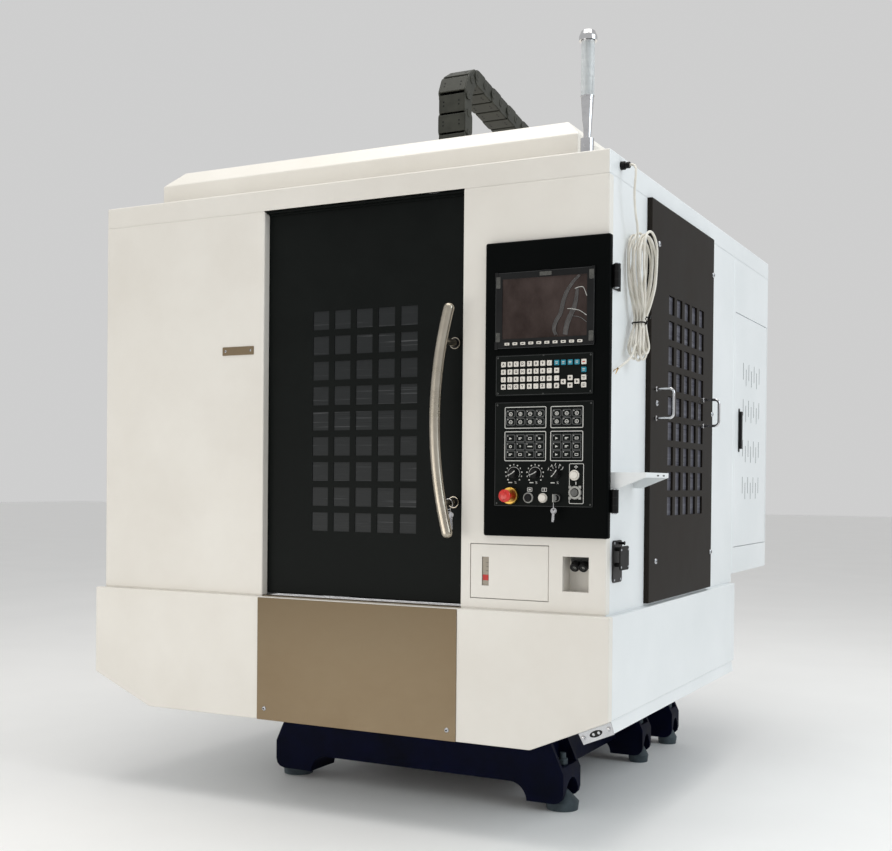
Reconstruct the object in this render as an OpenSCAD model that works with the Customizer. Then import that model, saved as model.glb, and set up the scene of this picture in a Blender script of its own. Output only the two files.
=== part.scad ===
// Drilling and milling centre: enclosed three-axis machine with a sliding front
// door, a hinged control panel, a side cabinet and a working interior.
// Units mm, +Z up, the front faces -Y. The floor is at z = 0; heights in the
// lists below are measured from a datum just above it, under the cast feet.

/* [Enclosure] */
// width of the upper cabinet
cab_w = 1800; // [1600:10:2200]
// depth of the cabinet from front face to rear face
cab_d = 1954; // [1700:2:2400]
// height of the roof edge above the datum
cab_top = 1924; // [1800:2:2100]
// height of the seam under the roof band
band_z = 1857; // [1760:1:2000]
// height where the upper cabinet meets the skirt
skirt_top = 640; // [560:1:700]
// how far the skirt stands out at each side
skirt_out = 20; // [5:1:40]
// how far the skirt stands out at the front
skirt_front = 25; // [5:1:40]
// bottom edge of the skirt sides
skirt_side_z = 352; // [300:1:420]
// underside of the skirt
skirt_bot = 252; // [200:1:320]
// width of the slanted lower corner
skirt_cham = 234; // [100:1:300]
// depth of the folded panels
pan = 28; // [15:1:40]
// sheet thickness
sheet = 2; // [1:0.5:4]

/* [Door] */
// left edge of the door opening
door_l = -250; // [-300:1:-200]
// right edge of the door opening
door_r = 453; // [400:1:500]
// windows across
win_cols = 5; // [3:1:7]
// windows up
win_rows = 9; // [5:1:11]
// side of one square window
win_size = 58; // [40:1:70]
// window spacing on the door
win_pitch = 78.3; // [60:0.1:90]
// window spacing across the side panel
side_pitch = 85.8; // [60:0.1:95]
// tube diameter of the door handle
handle_d = 32; // [20:1:40]

/* [Control panel] */
// width of the control panel frame
op_w = 376; // [300:1:420]
// height of the control panel frame
op_h = 835; // [700:1:900]
// thickness of the control panel frame
op_t = 20; // [12:1:30]
// diameter of the stop button
estop_d = 36; // [30:1:60]

/* [Machine] */
// height of the round pads under the cast feet
pad_h = 29; // [24:1:60]
// centre line of table and spindle
mc = 104; // [0:1:150]
// spindle axis behind the front face
sp_y = 665; // [600:1:720]
// table length
table_l = 700; // [500:10:900]
// table depth
table_d = 420; // [300:10:500]
// table height above the datum
table_z = 810; // [780:1:850]
// height of the spindle nose
nose_z = 1300; // [1250:1:1350]
// places in the tool carousel
tools = 12; // [8:1:16]

/* [Cable] */
// diameter of the loose cable
cable_d = 7; // [5:0.5:10]
// width of the cable chain
chain_w = 112; // [60:1:120]
// thickness of the cable chain
chain_t = 61; // [40:1:80]

/* [Hidden] */
$fn = 48;
hw = cab_w / 2;
lift = pad_h - 4;
shelf_out = 107;
hy = -56;
ox = (hw + shelf_out - hw - skirt_out) / 2;
oy = (cab_d + hy - handle_d / 2) / 2;
wcx = 102;
wz0 = 1191.5;
op_l = hw + 10 - op_w;
op_z0 = 853;
feet = [[350, 500], [1136, 1238], [1506, 1600]];
base_l = mc - 524;
base_r = mc + 524;
cab_y = 1385;
cab_x = 400;
cd_y0 = 1413;
cd_y1 = 1937;
cd_z0 = 770;
cd_z1 = 1655;
pf = -op_t - 2;
knob_x = [629.5, 694.7, 758.5];
knob_turn = [57, 63, 38];
knob_z = 1031;

module F() translate([-ox, -oy, lift]) children();
// box between two opposite corners
module bx(a, b) translate(a) cube([b[0] - a[0], b[1] - a[1], b[2] - a[2]]);
// folded panel facing -Y
// hair gap between a sheet and the bars of its folded edge
fold = 0.2;
// four edge bars behind a sheet that faces along x, or along y
module edges_x(x0, x1, y0, y1, z0, z1, t = sheet) {
  for (z = [z0, z1 - t]) bx([x0, y0, z], [x1, y1, z + t]);
  for (y = [y0, y1 - t]) bx([x0, y, z0 + t + fold], [x1, y + t, z1 - t - fold]);
}
module edges_y(x0, x1, y0, y1, z0, z1, t = sheet) {
  for (z = [z0, z1 - t]) bx([x0, y0, z], [x1, y1, z + t]);
  for (x = [x0, x1 - t]) bx([x, y0, z0 + t + fold], [x + t, y1, z1 - t - fold]);
}
module pan_y(x0, x1, y0, y1, z0, z1, t = sheet) difference() {
  bx([x0, y0, z0], [x1, y1, z1]);
  bx([x0 + t, y0 + t, z0 + t], [x1 - t, y1 + 1, z1 - t]);
}
// folded panel facing +X
module pan_x(x0, x1, y0, y1, z0, z1, t = sheet) difference() {
  bx([x0, y0, z0], [x1, y1, z1]);
  bx([x0 - 1, y0 + t, z0 + t], [x1 - t, y1 - t, z1 - t]);
}
module cyl_y(x, y0, y1, z, d) translate([x, y0, z]) rotate([-90, 0, 0]) cylinder(d = d, h = y1 - y0);
module cyl_x(x0, x1, y, z, d) translate([x0, y, z]) rotate([0, 90, 0]) cylinder(d = d, h = x1 - x0);

// swept tube through points
function sub(a, b) = [a[0] - b[0], a[1] - b[1], a[2] - b[2]];
function unit(a) = a / norm(a);
function tang(p, i) = unit(sub(p[min(i + 1, len(p) - 1)], p[max(i - 1, 0)]));
function cat(p, i, t) = let (a = p[max(i - 1, 0)], b = p[i], c = p[min(i + 1, len(p) - 1)], d = p[min(i + 2, len(p) - 1)])
  0.5 * ((2 * b) + (c - a) * t + (2 * a - 5 * b + 4 * c - d) * t * t + (3 * b - a - 3 * c + d) * t * t * t);
function smooth(p, n) = [for (i = [0 : len(p) - 2]) for (k = [0 : n - 1]) cat(p, i, k / n), p[len(p) - 1]];
module tube(p, r, s = 10) {
  n = len(p);
  pts = [for (i = [0 : n - 1]) let (t = tang(p, i), u = unit(cross(t, [1, 0.02, 0.01])), v = cross(t, u))
    for (k = [0 : s - 1]) p[i] + r * (cos(360 * k / s) * u + sin(360 * k / s) * v)];
  side = [for (i = [0 : n - 2]) for (k = [0 : s - 1]) [i * s + k, i * s + (k + 1) % s, (i + 1) * s + (k + 1) % s, (i + 1) * s + k]];
  polyhedron(points = pts, faces = concat([[for (k = [s - 1 : -1 : 0]) k]], side, [[for (k = [0 : s - 1]) (n - 1) * s + k]]));
}
lead_pts = [[926, 88, 1895], [936, 87, 1894], [944, 84, 1885], [946, 81, 1868], [944, 81, 1843], [941, 86, 1815],
  [939, 96, 1785], [938, 110, 1755], [937, 126, 1730], [937, 140, 1706]];
tail_pts = [[936, 118, 1392], [934, 100, 1366], [929, 78, 1348], [922, 54, 1334], [916, 30, 1322]];

// outline of one cross beam: rounded hollow below, slanted ends above the feet
module beam_outline() difference() {
  polygon([[-402, 4], [-419, 9], [-430, 20], [-434, 36], [-434, 98], [-392, 190], [-386, 440], [594, 440], [600, 190], [642, 98], [642, 36], [638, 20], [627, 9], [610, 4]]);
  translate([-230, 0]) square([688, 60]);
  translate([-230, 0]) circle(r = 60);
  translate([458, 0]) circle(r = 60);
}
// bolt places on the left and right feet, and pad width on each cross beam from front to rear
foot_x = [-390, 610];
pad_d = [106, 74, 74];
// cast base with three cross beams, six feet and machined seats
module base_casting() F() color([0.06, 0.08, 0.28]) difference() {
  union() {
    bx([base_l + 92, 350, 60], [base_r - 90, 1640, 470]);
    for (f = feet) translate([0, f[1], 0]) rotate([90, 0, 0]) linear_extrude(f[1] - f[0]) beam_outline();
    for (s = [-1, 1]) bx([mc + s * 190 - 35, 380, 469], [mc + s * 190 + 35, 1110, 500]);
    bx([mc - 254, 1150, 469], [mc + 254, 1600, 500]);
  }
  for (i = [0 : 2]) let (f = feet[i], yc = (f[0] + f[1]) / 2, w = f[1] - f[0], b = min(64, w / 2 - 8)) for (s = [0, 1]) {
    translate([s ? 548 : -435, yc, 0]) rotate([90, 0, 90]) linear_extrude(s ? 95 : 105)
      polygon([[-b, -1], [-b, 12], [-b * 0.84, 36], [-b * 0.58, 60], [-b * 0.36, 72], [0, 79], [b * 0.36, 72], [b * 0.58, 60], [b * 0.84, 36], [b, 12], [b, -1]]);
    bx([s ? 572 : -435, yc - w / 2 + 14, 116], [s ? 643 : -364, yc + w / 2 - 14, 420]);
    translate([foot_x[s], yc, 60]) cylinder(d = 22, h = 60);
  }
}
// six levelling bolts with their pads and nuts
module levelling_bolts() F() color([0.3, 0.35, 0.38]) for (i = [0 : 2]) for (s = [0, 1])
  translate([foot_x[s], (feet[i][0] + feet[i][1]) / 2, 0]) {
    translate([0, 0, -lift]) cylinder(d1 = pad_d[i] - 6, d2 = pad_d[i], h = lift);
    cylinder(d1 = pad_d[i], d2 = 36, h = 36);
    translate([0, 0, 35.5]) cylinder(d = 20, h = 117);
    translate([0, 0, 50]) cylinder(d = 30, h = 12, $fn = 6);
    translate([0, 0, 116.4]) cylinder(d = 34, h = 15, $fn = 6);
  }
// column with machined pads for the vertical guides
module column() F() color([0.06, 0.08, 0.28]) difference() {
  union() {
    bx([mc - 254, 1150, 500], [mc + 254, 1600, 1790]);
    for (s = [-1, 1]) bx([mc + s * 150 - 35, 1130, 940], [mc + s * 150 + 35, 1150, 1790]);
    bx([mc - 75, 1020, 1790], [mc + 75, 1180, 1815]);
  }
  for (z = [600, 900, 1200, 1500]) for (s = [0, 1]) bx([s ? mc + 214 : mc - 255, 1260, z], [s ? mc + 255 : mc - 214, 1520, z + 220]);
  for (z = [620, 1000, 1380]) bx([mc - 180, 1540, z], [mc + 180, 1601, z + 300]);
}
// profile of a guide rail
module rail_profile(w = 34, h = 26) polygon([[-w / 2, 0], [w / 2, 0], [w / 2, h * 0.42], [w / 2 - 5, h * 0.58], [w / 2, h * 0.78], [w / 2, h], [-w / 2, h], [-w / 2, h * 0.78], [-w / 2 + 5, h * 0.58], [-w / 2, h * 0.42]]);
// guide rails on base and column
module guide_rails() F() color([0.75, 0.76, 0.78]) {
  for (s = [-1, 1]) translate([mc + s * 190, 1105, 500]) rotate([90, 0, 0]) linear_extrude(720) rail_profile();
  for (s = [-1, 1]) translate([mc + s * 150, 1130, 950]) linear_extrude(830) rotate(180) rail_profile();
}
// servo motor standing on its flange
module servo() {
  bx([-65, -65, 0], [65, 65, 16]);
  bx([-58, -58, 16], [58, 58, 120]);
  translate([0, 0, 120]) cylinder(d = 100, h = 42);
  bx([-22, -80, 96], [22, -50, 150]);
}
module servo_motors() F() color([0.12, 0.12, 0.13]) {
  translate([mc, 1085, 1815]) servo();
  translate([mc, 1640, 300]) rotate([-90, 0, 0]) servo();
}
// sloping sheet floor around the base, with the drain channel at the right
module chip_tray() F() color([0.86, 0.86, 0.84]) {
  z0 = skirt_bot + 6; xf = hw + skirt_out - skirt_cham; xs = hw - 8; zs = z0 + (xs - xf) * (skirt_side_z - skirt_bot) / skirt_cham;
  bx([-xf, 2, z0], [xf, 342, z0 + 4]);
  bx([-xf, 342, z0], [base_l - 8, 1356, z0 + 4]);
  bx([base_r + 8, 342, z0], [xf, 1356, z0 + 4]);
  for (s = [-1, 1]) translate([0, 1356, 0]) rotate([90, 0, 0]) linear_extrude(1354)
    polygon([[s * xf, z0], [s * xs, zs], [s * xs, zs + 4], [s * xf, z0 + 4]]);
  translate([0, 1330, 0]) rotate([90, 0, 0]) linear_extrude(1328)
    polygon([[824, 309], [918, 350], [924, 317], [838, 281]]);
}
// white skirt: front panel with slanted lower corners and two side panels
module skirt() F() color([0.86, 0.84, 0.81]) {
  sx = hw + skirt_out; zf = skirt_side_z; xf = sx - skirt_cham; y0 = fold + 2 - skirt_front; w = skirt_front - 2 - 2 * fold;
  translate([0, 2 - skirt_front, 0]) rotate([90, 0, 0]) linear_extrude(2)
    polygon([[-sx, skirt_top], [-sx, zf], [-xf, skirt_bot], [xf, skirt_bot], [sx, zf], [sx, skirt_top]]);
  bx([-sx, y0, skirt_top - 2], [sx, -fold, skirt_top]);
  bx([1 - xf + fold, y0, skirt_bot], [xf - 1 - fold, -fold, skirt_bot + 2]);
  for (s = [0, 1]) mirror([s, 0, 0]) {
    bx([sx - 2, y0, zf + 2 + fold], [sx, -fold, skirt_top - 2 - fold]);
    translate([0, y0 + w, 0]) rotate([90, 0, 0]) linear_extrude(w) polygon([[sx, zf], [sx - 2, zf + 2], [xf - 1, skirt_bot + 2], [xf, skirt_bot]]);
    bx([sx - 2, 0, zf], [sx, 1360, skirt_top]);
    edges_x(hw - 6, sx - 2 - fold, 0, 1360, zf, skirt_top);
  }
}
// stainless plates: kick panel, drain plate and the small plate on the left panel
module trim_plates() F() color([0.62, 0.58, 0.52]) {
  bx([-248, -skirt_front - 2, skirt_bot], [456, -skirt_front, skirt_top]);
  difference() {
    translate([0, 2, 0]) rotate([90, 0, 0]) linear_extrude(2) polygon([[823, 309], [918, 350], [928, 317], [839, 279]]);
    for (k = [-10 : 4 : 10]) cyl_y(873 + k, -2, 4, 316 + k * 0.43, 18);
  }
  bx([-410, -2, 1406], [-288, 0, 1433]);
}
// fixed panel at the left of the door
module left_front_panel() F() color([0.86, 0.84, 0.81]) pan_y(-hw, door_l, 0, pan, skirt_top, band_z);
// fixed housing at the right of the door, with the control box, a pocket and the pump opening
module operator_housing() F() color([0.86, 0.84, 0.81]) {
  // front sheet in strips round the panel, pump door and pocket openings
  for (r = [[door_r, hw, 1672, band_z], [door_r, 548, 868, 1672], [886, hw, 868, 1672], [door_r, hw, 828.5, 868],
            [door_r, 484.5, 670.5, 828.5], [729.5, 771, 670.5, 828.5], [849, hw, 670.5, 828.5], [771, 849, 800, 828.5],
            [771, 849, 670.5, 702], [door_r, hw, skirt_top, 670.5]])
    bx([r[0] + fold / 2, 0, r[2] + fold / 2], [r[1] - fold / 2, sheet, r[3] - fold / 2]);
  edges_y(door_r, hw, sheet + fold, pan, skirt_top, band_z);
  // sheet box behind the panel, open at the front
  bx([480, 170, 645], [hw - pan, 172, 1700]);
  for (z = [645, 1698]) bx([480, pan, z], [hw - pan, 170 - fold, z + 2]);
  for (x = [480, hw - pan - 2]) bx([x, pan, 647 + fold], [x + 2, 170 - fold, 1698 - fold]);
  // pocket for the air coupling
  bx([769, 60, 700], [851, 62, 802]);
  for (z = [700, 800]) bx([769, sheet + fold, z], [851, 60 - fold, z + 2]);
  for (x = [769, 849]) bx([x, sheet + fold, 702 + fold], [x + 2, 60 - fold, 800 - fold]);
}
// leaves and barrels of the two panel hinges on the right wall
module panel_hinges() F() color([0.05, 0.05, 0.05]) for (z = [956, 1574]) {
  bx([hw, 14, z - 32], [hw + 6, 80, z + 32]);
  bx([hw, 4, z - 32], [hw + 21, 14, z + 32]);
  translate([hw + 21, 4, z - 32]) cylinder(d = 20, h = 64);
}
// twin air coupling in the pocket
module air_coupling() F() color([0.08, 0.08, 0.09]) {
  translate([813, 36, 782]) rotate([35, 0, 0]) {
    bx([-28, -2, -19], [28, 2, 19]);
    for (x = [-12.6, 12.6]) difference() {
      cyl_y(x, -26, -2, 0, 25);
      cyl_y(x, -27, -12, 0, 12);
    }
  }
  cyl_y(813, 38, 60, 780, 20);
}
// roof band with the opening under the hood
module roof_frame() F() color([0.88, 0.87, 0.84]) {
  for (y = [0, cab_d - 2]) bx([-hw, y, band_z], [hw, y + 2, cab_top - 3 - fold]);
  for (x = [-hw, hw - 2]) bx([x, 2 + fold, band_z], [x + 2, cab_d - 2 - fold, cab_top - 3 - fold]);
  bx([-hw, 0, cab_top - 3], [hw, 142, cab_top]);
  bx([-hw, 1398, cab_top - 3], [hw, cab_d, cab_top]);
  for (x = [[-hw, -738], [738, hw]]) bx([x[0], 142 + fold, cab_top - 3], [x[1], 1398 - fold, cab_top]);
}
module hood_solid(k, e = 0) intersection() {
  translate([0, 1500, 0]) rotate([90, 0, 0]) linear_extrude(1500) polygon([[-760 + k, cab_top - e], [-760 + k, 2012 - k * 0.4], [-707 + k * 0.4, 2065 - k], [707 - k * 0.4, 2065 - k], [760 - k, 2012 - k * 0.4], [760 - k, cab_top - e]]);
  translate([-800, 0, 0]) rotate([90, 0, 90]) linear_extrude(1600) polygon([[120 + k, cab_top - e], [120 + k, 2012 - k * 0.4], [173 + k * 0.4, 2065 - k], [1420 - k, 2065 - k], [1420 - k, cab_top - e]]);
}
// raised roof hood with slanted edges and a slot for the cable chain
module roof_hood() F() color([0.9, 0.89, 0.85]) difference() {
  hood_solid(0);
  hood_solid(2, 2);
  bx([-90, 770, 2040], [80, 960, 2070]);
}
module left_wall() F() color([0.87, 0.88, 0.88]) mirror([1, 0, 0]) {
  bx([hw - 2, pan, skirt_top], [hw, cab_d, band_z]);
  edges_x(hw - 25, hw - 2 - fold, pan, cab_d, skirt_top, band_z);
}
module right_wall() F() color([0.87, 0.88, 0.88]) {
  bx([hw - 2, pan, skirt_top], [hw, 352, band_z]);
  bx([hw - 2, 1012, skirt_top], [hw, cab_y - 2, band_z]);
  for (z = [[skirt_top, 668], [1838, band_z]]) bx([hw - 2, 352 + fold, z[0]], [hw, 1012 - fold, z[1]]);
  edges_x(hw - 25, hw - 2 - fold, pan, cab_y - 2, skirt_top, band_z);
}
module rear_wall() F() color([0.87, 0.88, 0.88]) difference() {
  bx([-hw + 25, cab_d - 25, skirt_top], [cab_x - 2, cab_d, band_z]);
  bx([-hw + 27, cab_d - 26, skirt_top + 2], [cab_x - 4, cab_d - 2, band_z - 2]);
}
// inner sheets left and right of the column
module chamber_back() F() color([0.8, 0.81, 0.82]) {
  bx([-hw + 27, 1250, skirt_top], [mc - 258, 1254, band_z]);
  bx([mc + 258, 1250, skirt_top], [hw - 27, 1254, band_z]);
}
// square windows of a panel, seen along its normal
module windows(px, h) for (i = [0 : win_cols - 1]) for (j = [0 : win_rows - 1])
  translate([(i - (win_cols - 1) / 2) * px - win_size / 2, (j - (win_rows - 1) / 2) * win_pitch - win_size / 2, 0]) cube([win_size, win_size, h]);
// dark panel screwed to the right wall
module side_panel() F() color([0.16, 0.155, 0.145]) {
  difference() {
    bx([hw + 14, 329, 648], [hw + 16, 1034, 1858]);
    translate([hw + 10, 707, 1249]) rotate([90, 0, 90]) windows(side_pitch, 10);
  }
  edges_x(hw, hw + 14 - fold, 329, 1034, 648, 1858);
}
module side_pane() F() color([0.3, 0.31, 0.32]) bx([hw + 4, 480, 880], [hw + 9, 934, 1618]);
// two bent rod handles on the side panel
module side_handles() F() color([0.7, 0.7, 0.7]) for (y = [374, 900]) translate([hw + 16, y, 1247]) {
  for (z = [-44, 44]) { rotate([0, 90, 0]) translate([-z, 0, 0]) cylinder(d = 16, h = 5); rotate([0, 90, 0]) translate([-z, 0, 5]) cylinder(d = 9, h = 38); }
  for (s = [-1, 1]) translate([43, 0, s * 30]) rotate([90, 0, 0]) rotate([0, 0, s < 0 ? -90 : 0]) rotate_extrude(angle = 90) translate([14, 0]) circle(d = 9);
  translate([57, 0, -30]) cylinder(d = 9, h = 60);
}
// folded shelf with two gussets
module shelf() F() color([0.9, 0.9, 0.89]) {
  bx([hw, 10, 1034], [hw + shelf_out, 218, 1036]);
  bx([hw, 10, 992], [hw + 2, 218, 1034]);
  bx([hw + shelf_out - 2, 10, 1022], [hw + shelf_out, 218, 1034]);
  for (y = [12, 218]) translate([0, y, 0]) rotate([90, 0, 0]) linear_extrude(2) polygon([[hw + 2, 992], [hw + 30, 992], [hw + shelf_out - 2, 1022], [hw + shelf_out - 2, 1034], [hw + 2, 1034]]);
}
// holder for a hand pendant
module pendant_bracket() F() color([0.06, 0.06, 0.06]) {
  bx([hw, 44, 728], [hw + 4, 121, 846]);
  for (z = [775, 825]) bx([hw + 4, 60, z - 6], [hw + 24, 72, z + 6]);
  bx([hw + 24, 36, 766], [hw + 28, 110, 829]);
  cyl_x(hw + 4, hw + 22, 92, 838, 8);
}
// lubricant pump with its reservoir
module lube_pump() F() color([0.82, 0.83, 0.8]) {
  bx([500, 52, 660], [715, 160, 790]);
  bx([540, 70, 790], [600, 140, 830]);
  translate([665, 106, 790]) cylinder(d = 50, h = 16);
}
// socket, stem and cap of the signal light
module beacon_post() F() color([0.8, 0.8, 0.8]) translate([809, 60, 0]) {
  translate([0, 0, cab_top]) cylinder(d = 46, h = 4);
  translate([0, 0, cab_top + 4]) cylinder(d = 39, h = 46);
  translate([0, 0, cab_top + 50]) cylinder(d1 = 21, d2 = 37, h = 118);
  translate([0, 0, cab_top + 324]) cylinder(d = 52, h = 12);
  translate([0, 0, cab_top + 336]) cylinder(d1 = 52, d2 = 40, h = 15);
}
module beacon_lens() F() color([0.85, 0.88, 0.9]) translate([809, 60, cab_top + 168]) cylinder(d = 38, h = 156);
// gland that the loose cable leaves
module cable_gland() F() color([0.08, 0.08, 0.08]) difference() {
  union() { cyl_x(hw, hw + 12, 88, 1895, 24); cyl_x(hw + 12, hw + 26, 88, 1895, 18); }
  cyl_x(hw + 20, hw + 27, 88, 1895, cable_d + 0.4);
}
module cable_lead() F() color([0.85, 0.83, 0.77]) tube(smooth(lead_pts, 2), cable_d / 2);
// outer shape of the hank: outline with round ends
module cable_hank() F() color([0.85, 0.83, 0.77]) translate([906, 0, 0]) rotate([90, 0, 90]) linear_extrude(60) {
  translate([184, 1648]) circle(d = 140);
  translate([143, 1396]) circle(d = 72);
  polygon([[114, 1648], [254, 1648], [179, 1396], [107, 1396]]);
}
module cable_tail() F() color([0.85, 0.83, 0.77]) tube(smooth(tail_pts, 2), cable_d / 2);
// link centres of the cable chain: up, over, back and down to the roof
ch_r = 90;
ch_p = 72;
ch_pts = concat([for (k = [0 : 7]) [830, 1884 + k * ch_p, 90]],
  [for (a = [25, 60]) [920 - ch_r * cos(a), 2410 + ch_r * sin(a), 90 - a]],
  [for (k = [0 : 8]) [930 + k * 71, 2497 - k * 12.5, -10]],
  [for (a = [35, 72]) [1505 + 84 * sin(a), 2300 + 92 * cos(a), -a]],
  [for (k = [0 : 4]) [1589, 2252 - k * ch_p, -90]]);
module cable_chain() F() color([0.26, 0.26, 0.24]) for (i = [0 : len(ch_pts) - 1]) let (q = ch_pts[i], w = i % 2 ? chain_w / 2 - 7 : chain_w / 2)
  translate([3.5, q[0], q[1]]) rotate([q[2], 0, 0]) {
    for (s = [-1, 1]) translate([s > 0 ? w - 6 : -w, -40, -chain_t / 2]) cube([6, 80, chain_t]);
    for (z = [-chain_t / 2 + 3, chain_t / 2 - 9]) translate([-w + 5, -15, z]) cube([2 * w - 10, 30, 6]);
  }
// box for the electrical gear with an opening in its right side
module electrical_cabinet() F() color([0.87, 0.88, 0.88]) {
  for (z = [668, band_z - 2]) bx([cab_x, cab_y, z], [hw, cab_d, z + 2]);
  for (y = [cab_y, cab_d - 2]) bx([cab_x, y, 670 + fold], [hw, y + 2, band_z - 2 - fold]);
  bx([cab_x, cab_y + 2 + fold, 670 + fold], [cab_x + 2, cab_d - 2 - fold, band_z - 2 - fold]);
  // right side round the door opening
  for (z = [[670 + fold, cd_z0 - 1], [cd_z1 + 1, band_z - 2 - fold]]) bx([hw - 2, cab_y + 2 + fold, z[0]], [hw, cab_d - 2 - fold, z[1]]);
  for (y = [[cab_y + 2 + fold, cd_y0 - 1], [cd_y1 + 1, cab_d - 2 - fold]]) bx([hw - 2, y[0], cd_z0 - 1 + fold], [hw, y[1], cd_z1 + 1 - fold]);
}
// mounting plate with drives and switchgear
module drive_units() F() color([0.55, 0.56, 0.55]) {
  bx([cab_x + 2, 1400, 700], [cab_x + 8, 1940, 1830]);
  for (k = [0 : 3]) bx([cab_x + 8 + fold, 1430 + k * 122, 1260], [cab_x + 190, 1530 + k * 122, 1600]);
  for (k = [0 : 7]) bx([cab_x + 8 + fold, 1430 + k * 58, 1060], [cab_x + 90, 1482 + k * 58, 1160]);
  for (z = [1010, 1200, 1640]) bx([cab_x + 8 + fold, 1410, z], [cab_x + 60, 1930, z + 40]);
  bx([cab_x + 8 + fold, 1440, 760], [cab_x + 150, 1640, 930]);
}
// arm that carries the tool carousel
module magazine_bracket() F() color([0.3, 0.31, 0.33]) {
  bx([-400, 640, 1560], [-280, 1242, 1590]);
  bx([-400, 1180, 1590], [mc - 254, 1242, 1700]);
  translate([-340, 700, 1590]) cylinder(d = 110, h = 90);
}
// carousel with gripper places round its rim
module magazine_disc() F() color([0.6, 0.61, 0.63]) translate([-340, 700, 0]) {
  difference() {
    translate([0, 0, 1500]) cylinder(r = 200, h = 22);
    for (k = [0 : tools - 1]) rotate(k * 360 / tools) translate([200, 0, 1499]) cylinder(d = 48, h = 24);
  }
  translate([0, 0, 1522]) cylinder(d = 130, h = 37.5);
  for (k = [0 : tools - 1]) rotate(k * 360 / tools) for (s = [-1, 1]) translate([170, s * 32 - 6, 1506]) cube([52, 12, 10]);
}
// sliding door sheet with its returns
module door_panel() F() color([0.08, 0.095, 0.095]) {
  difference() {
    bx([-276, 31, 648], [472, 33, 1848]);
    translate([wcx, 40, wz0]) rotate([90, 0, 0]) windows(win_pitch, 12);
  }
  edges_y(-276, 472, 33 + fold, 59, 648, 1848);
  for (x = [-180, 376]) {
    bx([x - 40, 59, 1800], [x + 40, 66, 1845]);
    bx([x - 40, 33 + fold, 1838], [x + 40, 60, 1845]);
  }
}
module door_pane() F() color([0.3, 0.31, 0.32]) bx([wcx - 205, 33, 840], [wcx + 205, 38, 1544]);
// bowed tube on two round posts
module door_handle() F() color([0.7, 0.68, 0.64]) {
  R = 1240; a = 15.1; hz = 1182;
  translate([393 + R, hy, hz]) rotate([90, 0, 0]) rotate(180 - a) rotate_extrude(angle = 2 * a, $fn = 240) translate([R, 0]) circle(d = handle_d, $fn = 28);
  for (s = [-1, 1]) translate([393 + R * (1 - cos(a)), hy, hz + s * R * sin(a)]) sphere(d = handle_d, $fn = 28);
  for (s = [-1, 1]) { cyl_y(414, hy + 10, 31, 1180 + s * 234, 19); cyl_y(414, 27, 31, 1180 + s * 234, 34); }
}
// rail that carries the door
module door_rail() F() color([0.7, 0.7, 0.72]) {
  bx([-870, 67, 1806], [470, 82, 1832]);
  bx([-870, 67, 1832], [470, 72, band_z]);
  bx([-hw + 28, 30, skirt_top], [470, 62, skirt_top + 4]);
}
// hinged frame of the control panel
module operator_frame() F() color([0.055, 0.07, 0.08]) difference() {
  pan_y(op_l, op_l + op_w, -op_t, -0.6, op_z0, op_z0 + op_h);
  bx([579, -op_t - 1, 1395], [856, 0, 1589]);
  bx([580, -op_t - 1, 1260], [856, 0, 1356]);
  bx([580, -op_t - 1, 949], [856, 0, 1222]);
}
// display with its soft keys
module lcd_unit() F() color([0.09, 0.1, 0.11]) {
  difference() {
    bx([569, -op_t - 4, 1385], [866, -op_t, 1599]);
    bx([590, -op_t - 5, 1411], [845, -op_t - 2, 1581]);
  }
  bx([579, -op_t, 1395], [856, 45, 1589]);
  for (k = [0 : 9]) bx([598 + k * 24.4, -op_t - 6, 1392], [614 + k * 24.4, -op_t - 4, 1403]);
}
key_x = [596, 616, 635, 655, 676, 696, 716, 736, 758, 778, 798, 818, 838];
key_z = [1339.5, 1318, 1296.6, 1276];
// keypad: plate with one moulded mat of keys
module keypad() F() color([0.8, 0.8, 0.78]) {
  bx([570, -op_t - 3, 1250], [865, -op_t, 1366]);
  bx([580, -op_t, 1260], [856, 20, 1356]);
  for (r = [0 : 3]) for (c = [0 : 12]) if (r == 0 || c < 9 || c == 12) bx([key_x[c] - 7.3, -op_t - 6, key_z[r] - 7.2], [key_x[c] + 7.3, -op_t - 3, key_z[r] + 7.2]);
  for (c = [[10, 2, 0], [10, 3, 0], [9, 2, -10.5], [11, 2, -10.5]]) bx([key_x[c[0]] - 7.3, -op_t - 6, key_z[c[1]] + c[2] - 7], [key_x[c[0]] + 7.3, -op_t - 3, key_z[c[1]] + c[2] + 7]);
}
// lower control plate with its holes and four key fields
module switch_panel() F() color([0.06, 0.065, 0.07]) difference() {
  union() {
    bx([570, pf, 939], [866, -op_t, 1232]);
    bx([580, -op_t, 949], [856, 28, 1222]);
    for (b = [[601, 726, 1159, 1218, 4, 2], [741, 836, 1159, 1218, 3, 2], [601, 726, 1067, 1149, 4, 3], [741, 836, 1067, 1149, 3, 3]])
      for (i = [0 : b[4] - 1]) for (j = [0 : b[5] - 1]) let (w = (b[1] - b[0] - 6) / b[4], h = (b[3] - b[2] - 14) / b[5])
        bx([b[0] + 4 + i * w, pf - 1, b[2] + 8 + j * h], [b[0] + 2 + (i + 1) * w, pf, b[2] + 6 + (j + 1) * h]);
    cyl_y(622, pf - 14, pf, 968, 46);
    for (p = [[675, 963, 28], [719, 963, 27], [813, 1027, 30], [815, 979, 36], [761, 963, 26]]) cyl_y(p[0], pf - 3, pf, p[1], p[2]);
  }
  for (x = knob_x) cyl_y(x, pf - 1, 20, knob_z, 8);
  cyl_y(622, pf - 15, 20, 968, 17);
  for (p = [[675, 963], [719, 963], [761, 963], [813, 1027], [815, 979]]) cyl_y(p[0], pf - 4, 20, p[1], 21);
}
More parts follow.
